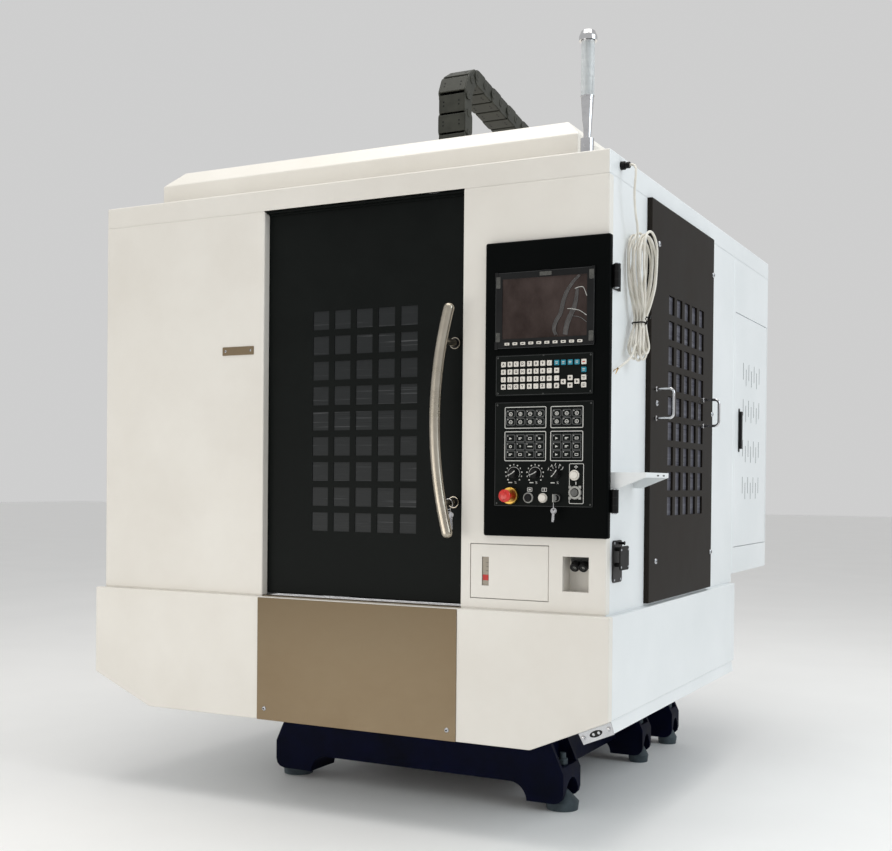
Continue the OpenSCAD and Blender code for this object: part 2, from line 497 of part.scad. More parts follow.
// dial knob with a raised grip
module knob(x, a) {
  cyl_y(x, pf - 7, pf - 0.6, knob_z, 27);
  cyl_y(x, pf - 18, pf - 7, knob_z, 22);
  translate([x, 0, knob_z]) rotate([0, a, 0]) bx([-3, pf - 20, -12], [3, pf - 17, 12]);
  cyl_y(x, pf - 0.7, 10, knob_z, 7);
}
module feed_knob() F() color([0.07, 0.07, 0.07]) knob(knob_x[0], knob_turn[0]);
module spindle_knob() F() color([0.07, 0.07, 0.07]) knob(knob_x[1], knob_turn[1]);
module mode_knob() F() color([0.07, 0.07, 0.07]) knob(knob_x[2], knob_turn[2]);
// mushroom stop button
module estop_button() F() color([0.84, 0.16, 0.12]) translate([622, pf - 38, 968]) rotate([90, 0, 0]) {
  rotate_extrude() polygon([[0, 0], [14, 0], [estop_d / 2 - 1, 2], [estop_d / 2, 4], [estop_d / 2, 9], [estop_d / 2 - 2, 12], [estop_d / 2 - 7, 14.5], [0, 15.5]]);
  translate([0, 0, -58]) cylinder(d = 16, h = 59);
}
module push(x, z, d) { cyl_y(x, pf - 8, pf + 16, z, d); }
module start_button() F() color([0.88, 0.87, 0.84]) push(719, 963, 20);
module hold_button() F() color([0.07, 0.07, 0.07]) push(675, 963, 20);
module power_button() F() color([0.88, 0.87, 0.84]) push(813, 1027, 20);
module dark_button() F() color([0.1, 0.1, 0.1]) push(815, 979, 20);
// key switch with the key in place
module key_switch() F() color([0.7, 0.7, 0.7]) {
  cyl_y(761, pf - 5, pf + 16, 963, 20);
  bx([760, pf - 14, 958], [762, pf - 4, 968]);
  bx([759.5, pf - 30, 952], [762.5, pf - 14, 974]);
}
// small hinged door in front of the pump, with a slot for the level
module lube_door() F() color([0.86, 0.84, 0.81]) difference() {
  pan_y(485.5, 728.5, 0, 14, 671.5, 827.5);
  bx([522, -1, 708], [544, 5, 791]);
}
// hinged door of the electrical cabinet with air slits
module cabinet_door() F() color([0.87, 0.88, 0.88]) difference() {
  pan_x(hw - 20, hw, cd_y0, cd_y1, cd_z0, cd_z1);
  for (z = [1433, 1293, 1136, 993]) for (k = [0 : 6])
    bx([hw - 5, 1542 + k * 44 - 1.8, z - 42 + (k % 2 ? 0 : 22)], [hw + 1, 1542 + k * 44 + 1.8, z + 20 + (k % 2 ? 0 : 22)]);
}
// swing handle on the cabinet door
module cabinet_handle() F() color([0.05, 0.05, 0.05]) {
  cyl_x(hw + 0.4, hw + 8, 1478, 1268, 26);
  bx([hw + 3, 1469, 1142], [hw + 12, 1487, 1284]);
}
// saddle with its guide blocks, upper rails and drive motor
module saddle() F() color([0.09, 0.11, 0.3]) {
  difference() {
    union() {
      bx([mc - 450, 490, 560], [mc + 450, 840, 690]);
      for (s = [-1, 1]) for (y = [500, 730]) bx([mc + s * 190 - 42, y, 506], [mc + s * 190 + 42, y + 100, 561]);
    }
    for (s = [-1, 1]) bx([mc + s * 190 - 18.5, 480, 500], [mc + s * 190 + 18.5, 850, 528]);
    for (s = [-1, 1]) bx([s > 0 ? mc + 330 : mc - 451, 489, 559], [s > 0 ? mc + 451 : mc - 330, 841, 600]);
  }
  for (s = [-1, 1]) translate([mc - 450, sp_y + s * 120, 690]) rotate([90, 0, 90]) linear_extrude(900) rail_profile(30, 24);
  translate([mc + 450, sp_y, 640]) rotate([0, 90, 0]) scale([0.7, 0.7, 0.8]) servo();
}
// work table with three T-slots and guide blocks
module table() F() color([0.45, 0.46, 0.47]) difference() {
  union() {
    bx([mc - table_l / 2, sp_y - table_d / 2, table_z - 75], [mc + table_l / 2, sp_y + table_d / 2, table_z]);
    for (s = [-1, 1]) for (x = [-145, 55]) bx([mc + x, sp_y + s * 120 - 38, 696], [mc + x + 90, sp_y + s * 120 + 38, table_z - 74]);
  }
  for (s = [-1, 1]) bx([mc - 400, sp_y + s * 120 - 16.5, 690], [mc + 400, sp_y + s * 120 + 16.5, 715.5]);
  for (k = [-1, 0, 1]) {
    bx([mc - 400, sp_y + k * 125 - 7, table_z - 14], [mc + 400, sp_y + k * 125 + 7, table_z + 1]);
    bx([mc - 400, sp_y + k * 125 - 12, table_z - 26], [mc + 400, sp_y + k * 125 + 12, table_z - 13]);
  }
}
// head that slides on the column and holds the spindle
module spindle_head() F() color([0.8, 0.81, 0.82]) difference() {
  union() {
    bx([mc - 190, 1000, 1400], [mc + 190, 1082, 1780]);
    bx([mc - 120, 590, 1440], [mc + 120, 1001, 1780]);
    translate([mc, sp_y, nose_z + 30]) cylinder(d = 170, h = 120);
    for (s = [-1, 1]) for (z = [1415, 1665]) bx([mc + s * 150 - 38, 1081, z], [mc + s * 150 + 38, 1124, z + 100]);
    bx([-52, 795, 1779], [44, 862, 1842]);
  }
  for (s = [-1, 1]) bx([mc + s * 150 - 18.5, 1102, 1390], [mc + s * 150 + 18.5, 1130, 1790]);
  translate([mc, sp_y, nose_z]) cylinder(d = 91, h = 300);
}
// spindle with a tapered nose socket and two drive keys
module spindle() F() color([0.72, 0.73, 0.75]) translate([mc, sp_y, nose_z]) difference() {
  union() {
    cylinder(d = 88, h = 29.4);
    cylinder(d = 90, h = 290);
    for (s = [-1, 1]) translate([s * 32 - 8, -8, -6]) cube([16, 16, 7]);
  }
  translate([0, 0, -1]) cylinder(d1 = 32, d2 = 18, h = 50);
  translate([0, 0, 48]) cylinder(d = 14, h = 300);
}
module spindle_motor() F() color([0.1, 0.1, 0.11]) {
  bx([mc - 95, sp_y - 75, 1780], [mc + 95, sp_y + 95, 1796]);
  bx([mc - 85, sp_y - 70, 1796], [mc + 85, sp_y + 90, 1980]);
  translate([mc, sp_y + 10, 1980]) cylinder(d = 150, h = 55);
}

base_casting();
levelling_bolts();
column();
guide_rails();
servo_motors();
chip_tray();
skirt();
trim_plates();
left_front_panel();
operator_housing();
panel_hinges();
air_coupling();
roof_frame();
roof_hood();
left_wall();
right_wall();
rear_wall();
chamber_back();
side_panel();
side_pane();
side_handles();
shelf();
pendant_bracket();
lube_pump();
beacon_post();
beacon_lens();
cable_gland();
cable_lead();
cable_hank();
cable_tail();
cable_chain();
electrical_cabinet();
drive_units();
magazine_bracket();
magazine_disc();
door_panel();
door_pane();
door_handle();
door_rail();
operator_frame();
lcd_unit();
keypad();
switch_panel();
feed_knob();
spindle_knob();
mode_knob();
estop_button();
start_button();
hold_button();
power_button();
dark_button();
key_switch();
lube_door();
cabinet_door();
cabinet_handle();
saddle();
table();
spindle_head();
spindle();
spindle_motor();
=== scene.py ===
import math
import random
import bpy
import bmesh
from mathutils import Vector, Matrix


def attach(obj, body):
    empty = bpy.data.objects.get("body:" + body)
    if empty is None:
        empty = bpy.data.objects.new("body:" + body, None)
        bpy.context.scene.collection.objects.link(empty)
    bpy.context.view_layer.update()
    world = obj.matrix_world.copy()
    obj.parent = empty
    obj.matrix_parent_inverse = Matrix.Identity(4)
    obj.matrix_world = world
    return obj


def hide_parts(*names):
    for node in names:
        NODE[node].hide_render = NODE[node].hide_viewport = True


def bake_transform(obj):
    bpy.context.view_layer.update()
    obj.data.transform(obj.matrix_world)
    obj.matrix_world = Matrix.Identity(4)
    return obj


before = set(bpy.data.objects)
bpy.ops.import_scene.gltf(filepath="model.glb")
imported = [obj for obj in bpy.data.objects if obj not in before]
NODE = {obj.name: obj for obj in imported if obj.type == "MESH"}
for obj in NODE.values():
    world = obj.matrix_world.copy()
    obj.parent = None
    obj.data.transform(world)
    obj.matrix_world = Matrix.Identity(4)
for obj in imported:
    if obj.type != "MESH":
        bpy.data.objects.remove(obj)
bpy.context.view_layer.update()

OX, OY, OZ = 0.0435, 0.941, 0.025
random.seed(7)


def P(x, y, z):
    """Machine millimetres to the row frame."""
    return Vector((x / 1000 - OX, y / 1000 - OY, z / 1000 + OZ))


# ---------------------------------------------------------------- materials
def lin(r, g, b):
    out = []
    for c in (r, g, b):
        c /= 255
        out.append(c / 12.92 if c <= 0.04045 else ((c + 0.055) / 1.055) ** 2.4)
    return (*out, 1.0)


def mat(name, dark, light, rough, metal=0.0, scale=3.0, stretch=(1, 1, 1), bump=None, coat=0.0, spec=0.5,
        ramp=(0.32, 0.68), trans=0.0, alpha=1.0, ior=1.45, painted_height_shade=None):
    m = bpy.data.materials.new(name)
    m.use_nodes = True
    nt = m.node_tree
    nd, ln = nt.nodes, nt.links.new
    b = nd["Principled BSDF"]
    co = nd.new("ShaderNodeTexCoord")
    mp = nd.new("ShaderNodeMapping")
    mp.inputs["Scale"].default_value = stretch
    ln(co.outputs["Object"], mp.inputs["Vector"])
    n = nd.new("ShaderNodeTexNoise")
    n.inputs["Scale"].default_value = scale
    n.inputs["Detail"].default_value = 6.0
    n.inputs["Roughness"].default_value = 0.6
    ln(mp.outputs["Vector"], n.inputs["Vector"])
    r = nd.new("ShaderNodeValToRGB")
    r.color_ramp.elements[0].position = ramp[0]
    r.color_ramp.elements[0].color = dark
    r.color_ramp.elements[1].position = ramp[1]
    r.color_ramp.elements[1].color = light
    ln(n.outputs["Fac"], r.inputs["Fac"])
    # optional ramp over height that scales the base colour: painted shade
    if painted_height_shade:
        sx = nd.new("ShaderNodeSeparateXYZ")
        ln(co.outputs["Object"], sx.inputs["Vector"])
        gr = nd.new("ShaderNodeMapRange")
        for key, val in zip(("From Min", "From Max", "To Min", "To Max"), painted_height_shade):
            gr.inputs[key].default_value = val
        ln(sx.outputs["Z"], gr.inputs["Value"])
        vm = nd.new("ShaderNodeVectorMath")
        vm.operation = "SCALE"
        ln(r.outputs["Color"], vm.inputs[0])
        ln(gr.outputs["Result"], vm.inputs["Scale"])
        ln(vm.outputs["Vector"], b.inputs["Base Color"])
    else:
        ln(r.outputs["Color"], b.inputs["Base Color"])
    mr = nd.new("ShaderNodeMapRange")
    mr.inputs["From Min"].default_value = 0.25
    mr.inputs["From Max"].default_value = 0.75
    mr.inputs["To Min"].default_value = rough[0]
    mr.inputs["To Max"].default_value = rough[1]
    ln(n.outputs["Fac"], mr.inputs["Value"])
    ln(mr.outputs["Result"], b.inputs["Roughness"])
    b.inputs["Metallic"].default_value = metal
    b.inputs["Coat Weight"].default_value = coat
    b.inputs["Coat Roughness"].default_value = 0.12
    b.inputs["Specular IOR Level"].default_value = spec
    b.inputs["IOR"].default_value = ior
    b.inputs["Transmission Weight"].default_value = trans
    b.inputs["Alpha"].default_value = alpha
    if bump:
        bs, strength, dist, bstretch = bump
        mp2 = nd.new("ShaderNodeMapping")
        mp2.inputs["Scale"].default_value = bstretch
        ln(co.outputs["Object"], mp2.inputs["Vector"])
        n2 = nd.new("ShaderNodeTexNoise")
        n2.inputs["Scale"].default_value = bs
        n2.inputs["Detail"].default_value = 4.0
        ln(mp2.outputs["Vector"], n2.inputs["Vector"])
        bu = nd.new("ShaderNodeBump")
        bu.inputs["Strength"].default_value = strength
        bu.inputs["Distance"].default_value = dist
        ln(n2.outputs["Fac"], bu.inputs["Height"])
        ln(bu.outputs["Normal"], b.inputs["Normal"])
    return m


ONE = (1, 1, 1)
M = {
    "white": mat("white_coat", lin(221, 217, 209), lin(229, 226, 219), (0.36, 0.46), scale=2.5, bump=(420, 0.10, 0.0004, ONE), coat=0.08),
    # same white paint, tinted cooler and bluer for faces turned to the sides, the back and the roof edge: painted side
    # light
    "side_white": mat("white_coat_painted_side_light", lin(222, 226, 227), lin(230, 233, 234), (0.32, 0.42), scale=2.5, bump=(420, 0.10, 0.0004, ONE), coat=0.1),
    "black": mat("black_coat", lin(13, 16, 15), lin(18, 21, 20), (0.44, 0.54), scale=5, bump=(520, 0.14, 0.0003, ONE), spec=0.09),
    "frame": mat("panel_coat", lin(3, 5, 5), lin(6, 8, 8), (0.46, 0.56), scale=6, bump=(600, 0.14, 0.0003, ONE), spec=0.045),
    "dark": mat("dark_coat", lin(30, 27, 24), lin(38, 34, 30), (0.46, 0.56), scale=4, bump=(520, 0.16, 0.0003, ONE), spec=0.1),
    "navy": mat("navy_enamel", lin(6, 9, 23), lin(9, 13, 38), (0.44, 0.58), scale=9, bump=(38, 0.3, 0.002, ONE), spec=0.05),
    "casting": mat("bare_casting", lin(96, 98, 100), lin(124, 126, 128), (0.38, 0.52), metal=0.7, scale=14, bump=(140, 0.25, 0.001, ONE)),
    "stainless": mat("brushed_stainless", lin(126, 110, 88), lin(146, 131, 108), (0.34, 0.46), metal=1.0, scale=1.7, stretch=(1, 1, 1.6), bump=(9, 0.05, 0.0006, (1, 1, 110)), ramp=(0.25, 0.75)),
    "steel": mat("ground_steel", lin(168, 170, 174), lin(196, 198, 202), (0.2, 0.32), metal=1.0, scale=8, stretch=(1, 20, 1), bump=(30, 0.06, 0.0004, (1, 12, 1))),
    "chrome": mat("polished_rod", lin(196, 196, 198), lin(216, 216, 218), (0.08, 0.16), metal=1.0, scale=20),
    "satin": mat("satin_tube", lin(168, 160, 146), lin(190, 183, 170), (0.24, 0.32), metal=1.0, scale=7, stretch=(1, 1, 1.5), bump=(60, 0.03, 0.0004, ONE)),
    "brass": mat("brass", lin(168, 132, 58), lin(196, 160, 84), (0.24, 0.34), metal=1.0, scale=60),
    "window": mat("film_window", lin(41, 43, 44), lin(140, 142, 144), (0.24, 0.38), scale=2.6, stretch=(0.8, 0.8, 46), bump=(5, 0.2, 0.002, (1, 1, 26)), spec=0.12, ramp=(0.6, 1.0)),
    # LCD screen: black glass given a warm brown base colour that stands for the reflected room: painted reflection
    "screen": mat("filmed_screen_painted_reflection", lin(44, 34, 31), lin(76, 65, 62), (0.12, 0.28), scale=9, stretch=(1.2, 1, 0.8), bump=(14, 0.35, 0.006, (1.2, 1, 0.7)), coat=0.06, spec=0.15, ramp=(0.36, 0.8)),
    "bezel": mat("display_bezel", lin(12, 13, 14), lin(20, 21, 22), (0.26, 0.38), scale=12, bump=(300, 0.08, 0.0003, ONE), coat=0.05, spec=0.25),
    "plastic": mat("black_plastic", lin(11, 11, 12), lin(17, 17, 18), (0.4, 0.52), scale=40, bump=(900, 0.2, 0.0002, ONE), spec=0.2),
    "panel": mat("control_foil", lin(15, 18, 17), lin(20, 23, 22), (0.5, 0.6), scale=20, bump=(900, 0.1, 0.0002, ONE), spec=0.07),
    "key": mat("key_white", lin(214, 209, 200), lin(230, 226, 218), (0.36, 0.46), scale=90, bump=(700, 0.06, 0.0002, ONE)),
    "teal": mat("key_teal", lin(20, 116, 138), lin(30, 138, 160), (0.36, 0.46), scale=90, bump=(700, 0.06, 0.0002, ONE)),
    "membrane": mat("key_dark", lin(11, 12, 13), lin(16, 17, 18), (0.36, 0.48), scale=60, bump=(700, 0.08, 0.0002, ONE), spec=0.15),
    "print": mat("white_print", lin(196, 196, 192), lin(216, 216, 212), (0.5, 0.6), scale=80),
    "ink": mat("dark_print", lin(34, 34, 36), lin(52, 52, 54), (0.5, 0.6), scale=80),
    "red_ink": mat("red_print", lin(176, 40, 38), lin(196, 56, 50), (0.5, 0.6), scale=80),
    "red": mat("stop_red", lin(196, 32, 26), lin(214, 46, 38), (0.24, 0.34), scale=50, coat=0.3),
    "chain": mat("chain_plastic", lin(44, 45, 40), lin(60, 61, 55), (0.4, 0.54), scale=18, bump=(260, 0.16, 0.0004, ONE), spec=0.3),
    "hose": mat("hose_black", lin(12, 12, 13), lin(20, 20, 21), (0.45, 0.58), scale=40, spec=0.2),
    "cable": mat("cable_jacket", lin(212, 207, 195), lin(234, 230, 221), (0.4, 0.52), scale=26, bump=(240, 0.1, 0.0004, ONE)),
    "motor": mat("motor_black", lin(18, 18, 19), lin(30, 30, 31), (0.34, 0.48), scale=18, bump=(260, 0.16, 0.0005, ONE)),
    "tank": mat("reservoir", lin(206, 208, 196), lin(224, 226, 216), (0.3, 0.42), scale=10, coat=0.1),
    "lens": mat("clear_lens", lin(226, 232, 234), lin(244, 247, 248), (0.05, 0.14), scale=30, stretch=(1, 1, 3), trans=0.6, ior=1.3, bump=(60, 0.1, 0.0006, (1, 1, 4))),
    "drive": mat("drive_grey", lin(172, 171, 160), lin(190, 189, 178), (0.42, 0.54), scale=12, bump=(500, 0.12, 0.0003, ONE)),
    "zinc": mat("zinc_sheet", lin(158, 161, 163), lin(186, 188, 190), (0.34, 0.5), metal=0.9, scale=26, ramp=(0.4, 0.6)),
    "inner": mat("inner_sheet", lin(196, 199, 201), lin(210, 212, 213), (0.36, 0.46), scale=3, bump=(420, 0.1, 0.0004, ONE)),
    "fold_sheen_painted": mat("film_fold_sheen_painted", lin(58, 55, 54), lin(86, 83, 82), (0.14, 0.26), scale=40, coat=0.1),
    # lighter thin outline strips along panel edges: painted highlight
    "edge": mat("edge_highlight", lin(44, 46, 47), lin(58, 60, 61), (0.4, 0.5), scale=40),
    "gauge": mat("sight_glass", lin(118, 108, 90), lin(140, 130, 112), (0.14, 0.24), scale=20, coat=0.4),
    "led": mat("led_core", lin(196, 198, 200), lin(226, 228, 230), (0.3, 0.42), scale=60, stretch=(1, 1, 3)),
    "wire_blue": mat("wire_blue", lin(40, 62, 112), lin(54, 78, 132), (0.42, 0.54), scale=30),
    "filmtape": mat("film_tape", lin(58, 59, 56), lin(84, 84, 80), (0.2, 0.34), scale=40, coat=0.2),
    "cell": mat("key_outline", lin(80, 82, 82), lin(102, 104, 104), (0.4, 0.5), scale=60),
    "bracket": mat("bracket_coat", lin(40, 39, 40), lin(52, 50, 51), (0.4, 0.5), scale=14, bump=(500, 0.14, 0.0003, ONE), spec=0.25),
    "gun": mat("dull_ring", lin(140, 140, 136), lin(166, 166, 162), (0.28, 0.4), metal=0.15, scale=50),
    # kick plate stainless: base colour scaled from 0.83 at the bottom to 0.5 at the top, darker towards the top:
    # painted shade
    "kick": mat("kick_stainless_painted_shade", lin(126, 110, 88), lin(146, 131, 108), (0.34, 0.46), metal=1.0, scale=1.7, stretch=(1, 1, 1.6), bump=(9, 0.05, 0.0006, (1, 1, 110)), ramp=(0.25, 0.75), painted_height_shade=(0.277, 0.662, 0.83, 0.5)),
    "pad": mat("pad_iron", lin(52, 61, 66), lin(76, 86, 91), (0.44, 0.58), scale=18, bump=(200, 0.25, 0.0008, ONE), spec=0.2),
    "side_window": mat("side_film", lin(80, 80, 88), lin(150, 150, 158), (0.24, 0.38), scale=2.6, stretch=(0.8, 0.8, 40), bump=(5, 0.2, 0.002, (1, 1, 26)), spec=0.14, ramp=(0.5, 1.0)),
    "glint_line_painted": mat("film_glint", lin(150, 150, 146), lin(196, 196, 192), (0.14, 0.24), scale=60, coat=0.3),
    "screw_dark": mat("dull_screw", lin(70, 71, 70), lin(92, 93, 92), (0.32, 0.44), metal=0.6, scale=80),
    "void": mat("deep_black", lin(7, 7, 8), lin(12, 12, 13), (0.6, 0.75), scale=20),
    "lamp_red": mat("lamp_red", lin(160, 44, 38), lin(190, 62, 52), (0.2, 0.3), scale=60),
    "lamp_green": mat("lamp_green", lin(44, 132, 74), lin(60, 156, 92), (0.2, 0.3), scale=60),
    "lamp_amber": mat("lamp_amber", lin(196, 136, 40), lin(216, 156, 60), (0.2, 0.3), scale=60),
}

# ---------------------------------------------------------------- mesh helpers
def add(bm, t, mi=0):
    """Adds bmesh t to bm with material index mi."""
    for f in t.faces:
        f.material_index = mi
    me = bpy.data.meshes.new("t")
    t.to_mesh(me)
    t.free()
    bm.from_mesh(me)
    bpy.data.meshes.remove(me)


def box(bm, a, b, r=0.0, mi=0, seg=2):
    """Box between corners a and b (mm) with rounded edges r (mm)."""
    t = bmesh.new()
    bmesh.ops.create_cube(t, size=1.0)
    lo, hi = P(*a), P(*b)
    for v in t.verts:
        v.co = Vector([lo[i] if v.co[i] < 0 else hi[i] for i in range(3)])
    bmesh.ops.recalc_face_normals(t, faces=t.faces[:])
    if r:
        bmesh.ops.bevel(t, geom=t.edges[:], offset=r / 1000, segments=seg, profile=0.5, affect="EDGES", clamp_overlap=True)
    add(bm, t, mi)


def frame_of(axis):
    z = Vector(axis).normalized()
    u = z.orthogonal().normalized()
    if abs(z.x) < 0.9:
        u = (Vector((1, 0, 0)) - z * z.x).normalized()
    else:
        u = (Vector((0, 1, 0)) - z * z.y).normalized()
    return u, z.cross(u), z


def lathe(bm, at, axis, prof, n=24, mi=0, phase=0.0):
    """Turned shape: prof is a list of (radius, height) in mm along axis from at (mm)."""
    u, v, z = frame_of(axis)
    o = P(*at)
    t = bmesh.new()
    rings = []
    for r, h in prof:
        if r <= 1e-6:
            rings.append([t.verts.new(o + z * h / 1000)])
        else:
            rings.append([t.verts.new(o + z * h / 1000 + (u * math.cos(a) + v * math.sin(a)) * r / 1000)
                          for a in (phase + 2 * math.pi * k / n for k in range(n))])
    for p, q in zip(rings, rings[1:]):
        for k in range(n):
            j = (k + 1) % n
            if len(p) == 1 and len(q) == 1:
                continue
            if len(p) == 1:
                t.faces.new((p[0], q[k], q[j]))
            elif len(q) == 1:
                t.faces.new((p[k], p[j], q[0]))
            else:
                t.faces.new((p[k], p[j], q[j], q[k]))
    if len(rings[0]) > 1:
        t.faces.new(rings[0][::-1])
    if len(rings[-1]) > 1:
        t.faces.new(rings[-1])
    bmesh.ops.recalc_face_normals(t, faces=t.faces[:])
    add(bm, t, mi)


def cyl(bm, at, axis, r, h, c=0.6, n=24, mi=0, phase=0.0):
    lathe(bm, at, axis, [(0, 0), (r - c, 0), (r, c), (r, h - c), (r - c, h), (0, h)], n, mi, phase)


def prism(bm, pts, axis, w0, w1, r=0.0, mi=0, seg=2):
    """Extruded outline. axis 'x': pts are (y, z); 'y': (x, z); 'z': (x, y); w0..w1 along the axis, mm."""
    t = bmesh.new()
    def q(p, w):
        return P(w, *p) if axis == "x" else P(p[0], w, p[1]) if axis == "y" else P(p[0], p[1], w)
    lo = [t.verts.new(q(p, w0)) for p in pts]
    hi = [t.verts.new(q(p, w1)) for p in pts]
    t.faces.new(lo[::-1])
    t.faces.new(hi)
    for k in range(len(pts)):
        j = (k + 1) % len(pts)
        t.faces.new((lo[k], lo[j], hi[j], hi[k]))
    bmesh.ops.recalc_face_normals(t, faces=t.faces[:])
    if r:
        bmesh.ops.bevel(t, geom=t.edges[:], offset=r / 1000, segments=seg, profile=0.5, affect="EDGES", clamp_overlap=True)
    add(bm, t, mi)


def rrect(x0, x1, z0, z1, r, n=4):
    out = []
    for cx, cz, a0 in ((x1 - r, z1 - r, 0), (x0 + r, z1 - r, 90), (x0 + r, z0 + r, 180), (x1 - r, z0 + r, 270)):
        for k in range(n + 1):
            a = math.radians(a0 + 90 * k / n)
            out.append((cx + r * math.cos(a), cz + r * math.sin(a)))
    return out


def tube(bm, pts, r, n=12, mi=0, close=False):
    """Round tube through points already in the row frame; r in mm."""
    t = bmesh.new()
    rings, u = [], None
    for i, p in enumerate(pts):
        if close:
            d = (pts[(i + 1) % len(pts)] - pts[i - 1]).normalized()
        else:
            d = (pts[min(i + 1, len(pts) - 1)] - pts[max(i - 1, 0)]).normalized()
        u = d.orthogonal().normalized() if u is None else (u - d * u.dot(d)).normalized()
        v = d.cross(u)
        rings.append([t.verts.new(p + (u * math.cos(2 * math.pi * k / n) + v * math.sin(2 * math.pi * k / n)) * r / 1000) for k in range(n)])
    pairs = list(zip(rings, rings[1:])) + ([(rings[-1], rings[0])] if close else [])
    for a, b in pairs:
        for k in range(n):
            j = (k + 1) % n
            t.faces.new((a[k], a[j], b[j], b[k]))
    if not close:
        t.faces.new(rings[0][::-1])
        t.faces.new(rings[-1])
    bmesh.ops.recalc_face_normals(t, faces=t.faces[:])
    add(bm, t, mi)


def ribbon(bm, pts, w, axis, at, t0=0.3, mi=0, closed=False):
    """Raised printed line of width w along a flat path; pts as for prism."""
    n = len(pts)
    for k in range(n if closed else n - 1):
        a, b = Vector(pts[k]), Vector(pts[(k + 1) % n])
        d = (b - a).normalized()
        s = Vector((-d.y, d.x)) * w / 2
        a2, b2 = a - d * w / 2, b + d * w / 2
        prism(bm, [tuple(a2 - s), tuple(b2 - s), tuple(b2 + s), tuple(a2 + s)], axis, at, at + t0, 0, mi)


def smooth_path(pts, n):
    out = []
    for i in range(len(pts) - 1):
        a, b, c, d = (pts[max(i - 1, 0)], pts[i], pts[i + 1], pts[min(i + 2, len(pts) - 1)])
        for k in range(n):
            t = k / n
            out.append(0.5 * (2 * b + (c - a) * t + (2 * a - 5 * b + 4 * c - d) * t * t + (3 * b - a - 3 * c + d) * t ** 3))
    out.append(pts[-1])
    return out


def make(bm, name, mats, body="machine", rep=(), smooth=35, ride=True):
    me = bpy.data.meshes.new(name)
    bm.to_mesh(me)
    bm.free()
    for m in (mats if isinstance(mats, (list, tuple)) else [mats]):
        me.materials.append(M[m])
    ob = bpy.data.objects.new(name, me)
    bpy.context.scene.collection.objects.link(ob)
    me.shade_smooth()
    me.set_sharp_from_angle(angle=math.radians(smooth))
    ob.modifiers.new("face_normals", "WEIGHTED_NORMAL").keep_sharp = True
    if ride:
        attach(ob, body)
    if rep:
        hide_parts(*((rep,) if isinstance(rep, str) else rep))
    return ob


FACES = {
    "-y": lambda pos: (lambda u, v, w: P(u, pos + w, v)),
    "+y": lambda pos: (lambda u, v, w: P(u, pos - w, v)),
    "+x": lambda pos: (lambda u, v, w: P(pos - w, u, v)),
    "-x": lambda pos: (lambda u, v, w: P(pos + w, u, v)),
    "+z": lambda pos: (lambda u, v, w: P(u, v, pos - w)),
}
OUT = {"-y": (0, -1, 0), "+y": (0, 1, 0), "+x": (1, 0, 0), "-x": (-1, 0, 0), "+z": (0, 0, 1)}


def pan_bm(face, pos, u0, u1, v0, v1, depth, holes=(), r=3.5, t=2.0, ret=0.0, seg=3, cap=False):
    """Folded sheet: flat front with holes, returns round the edge, rounded folds; the sheet thickness t is not used
    here.
    """
    q = FACES[face](pos)
    us = sorted({u0, u1, *[h[0] for h in holes], *[h[1] for h in holes]})
    vs = sorted({v0, v1, *[h[2] for h in holes], *[h[3] for h in holes]})
    bm = bmesh.new()
    grid, back = {}, {}
    def vert(u, v, w, store):
        k = (u, v)
        if k not in store:
            store[k] = bm.verts.new(q(u, v, w))
        return store[k]
    inhole = lambda u, v: any(h[0] < u < h[1] and h[2] < v < h[3] for h in holes)
    for i in range(len(us) - 1):
        for j in range(len(vs) - 1):
            if inhole((us[i] + us[i + 1]) / 2, (vs[j] + vs[j + 1]) / 2):
                continue
            bm.faces.new([vert(us[i], vs[j], 0, grid), vert(us[i + 1], vs[j], 0, grid),
                          vert(us[i + 1], vs[j + 1], 0, grid), vert(us[i], vs[j + 1], 0, grid)])
    outer = [((us[i], v), (us[i + 1], v)) for v in (v0, v1) for i in range(len(us) - 1)] + \
            [((u, vs[j]), (u, vs[j + 1])) for u in (u0, u1) for j in range(len(vs) - 1)]
    for a, b in outer:
        bm.faces.new([grid[a], grid[b], vert(*b, depth, back), vert(*a, depth, back)])
    if cap:
        bm.faces.new([back[k] for k in
                      [(u, v0) for u in us] + [(u1, v) for v in vs[1:]] + [(u, v1) for u in us[-2::-1]] + [(u0, v) for v in vs[-2:0:-1]]])
    if ret:
        for h in holes:
            hb = {}
            hu = [u for u in us if h[0] <= u <= h[1]]
            hv = [v for v in vs if h[2] <= v <= h[3]]
            ed = [((hu[i], v), (hu[i + 1], v)) for v in (h[2], h[3]) for i in range(len(hu) - 1)] + \
                 [((u, hv[j]), (u, hv[j + 1])) for u in (h[0], h[1]) for j in range(len(hv) - 1)]
            for a, b in ed:
                bm.faces.new([grid[a], grid[b], vert(*b, ret, hb), vert(*a, ret, hb)])
    bmesh.ops.recalc_face_normals(bm, faces=bm.faces[:])
    bm.faces.ensure_lookup_table()
    if bm.faces[0].normal.dot(Vector(OUT[face])) < 0:
        bmesh.ops.reverse_faces(bm, faces=bm.faces[:])
    bm.normal_update()
    corner = []
    for e in bm.edges:
        if len(e.link_faces) != 2 or e.calc_face_angle(0) < 0.6:
            continue
        on = [tuple(x.co) for x in e.verts]
        pts = [q(*c, w) for c in ((u0, v0), (u1, v0), (u0, v1), (u1, v1)) for w in (0, depth)]
        rim = all(any(abs((x.co - q(a[0], a[1], 0)).length) < 1e-7 for a in {k for p in outer for k in p}) for x in e.verts)
        edge_corner = all(any((x.co - p).length < 1e-7 for p in pts) for x in e.verts)
        if rim or edge_corner:
            corner.append(e)
    if r:
        bmesh.ops.bevel(bm, geom=corner, offset=r / 1000, segments=seg, profile=0.5, affect="EDGES", clamp_overlap=True)
    bmesh.ops.dissolve_limit(bm, angle_limit=0.001, verts=bm.verts[:], edges=bm.edges[:]) if not holes else None
    return bm


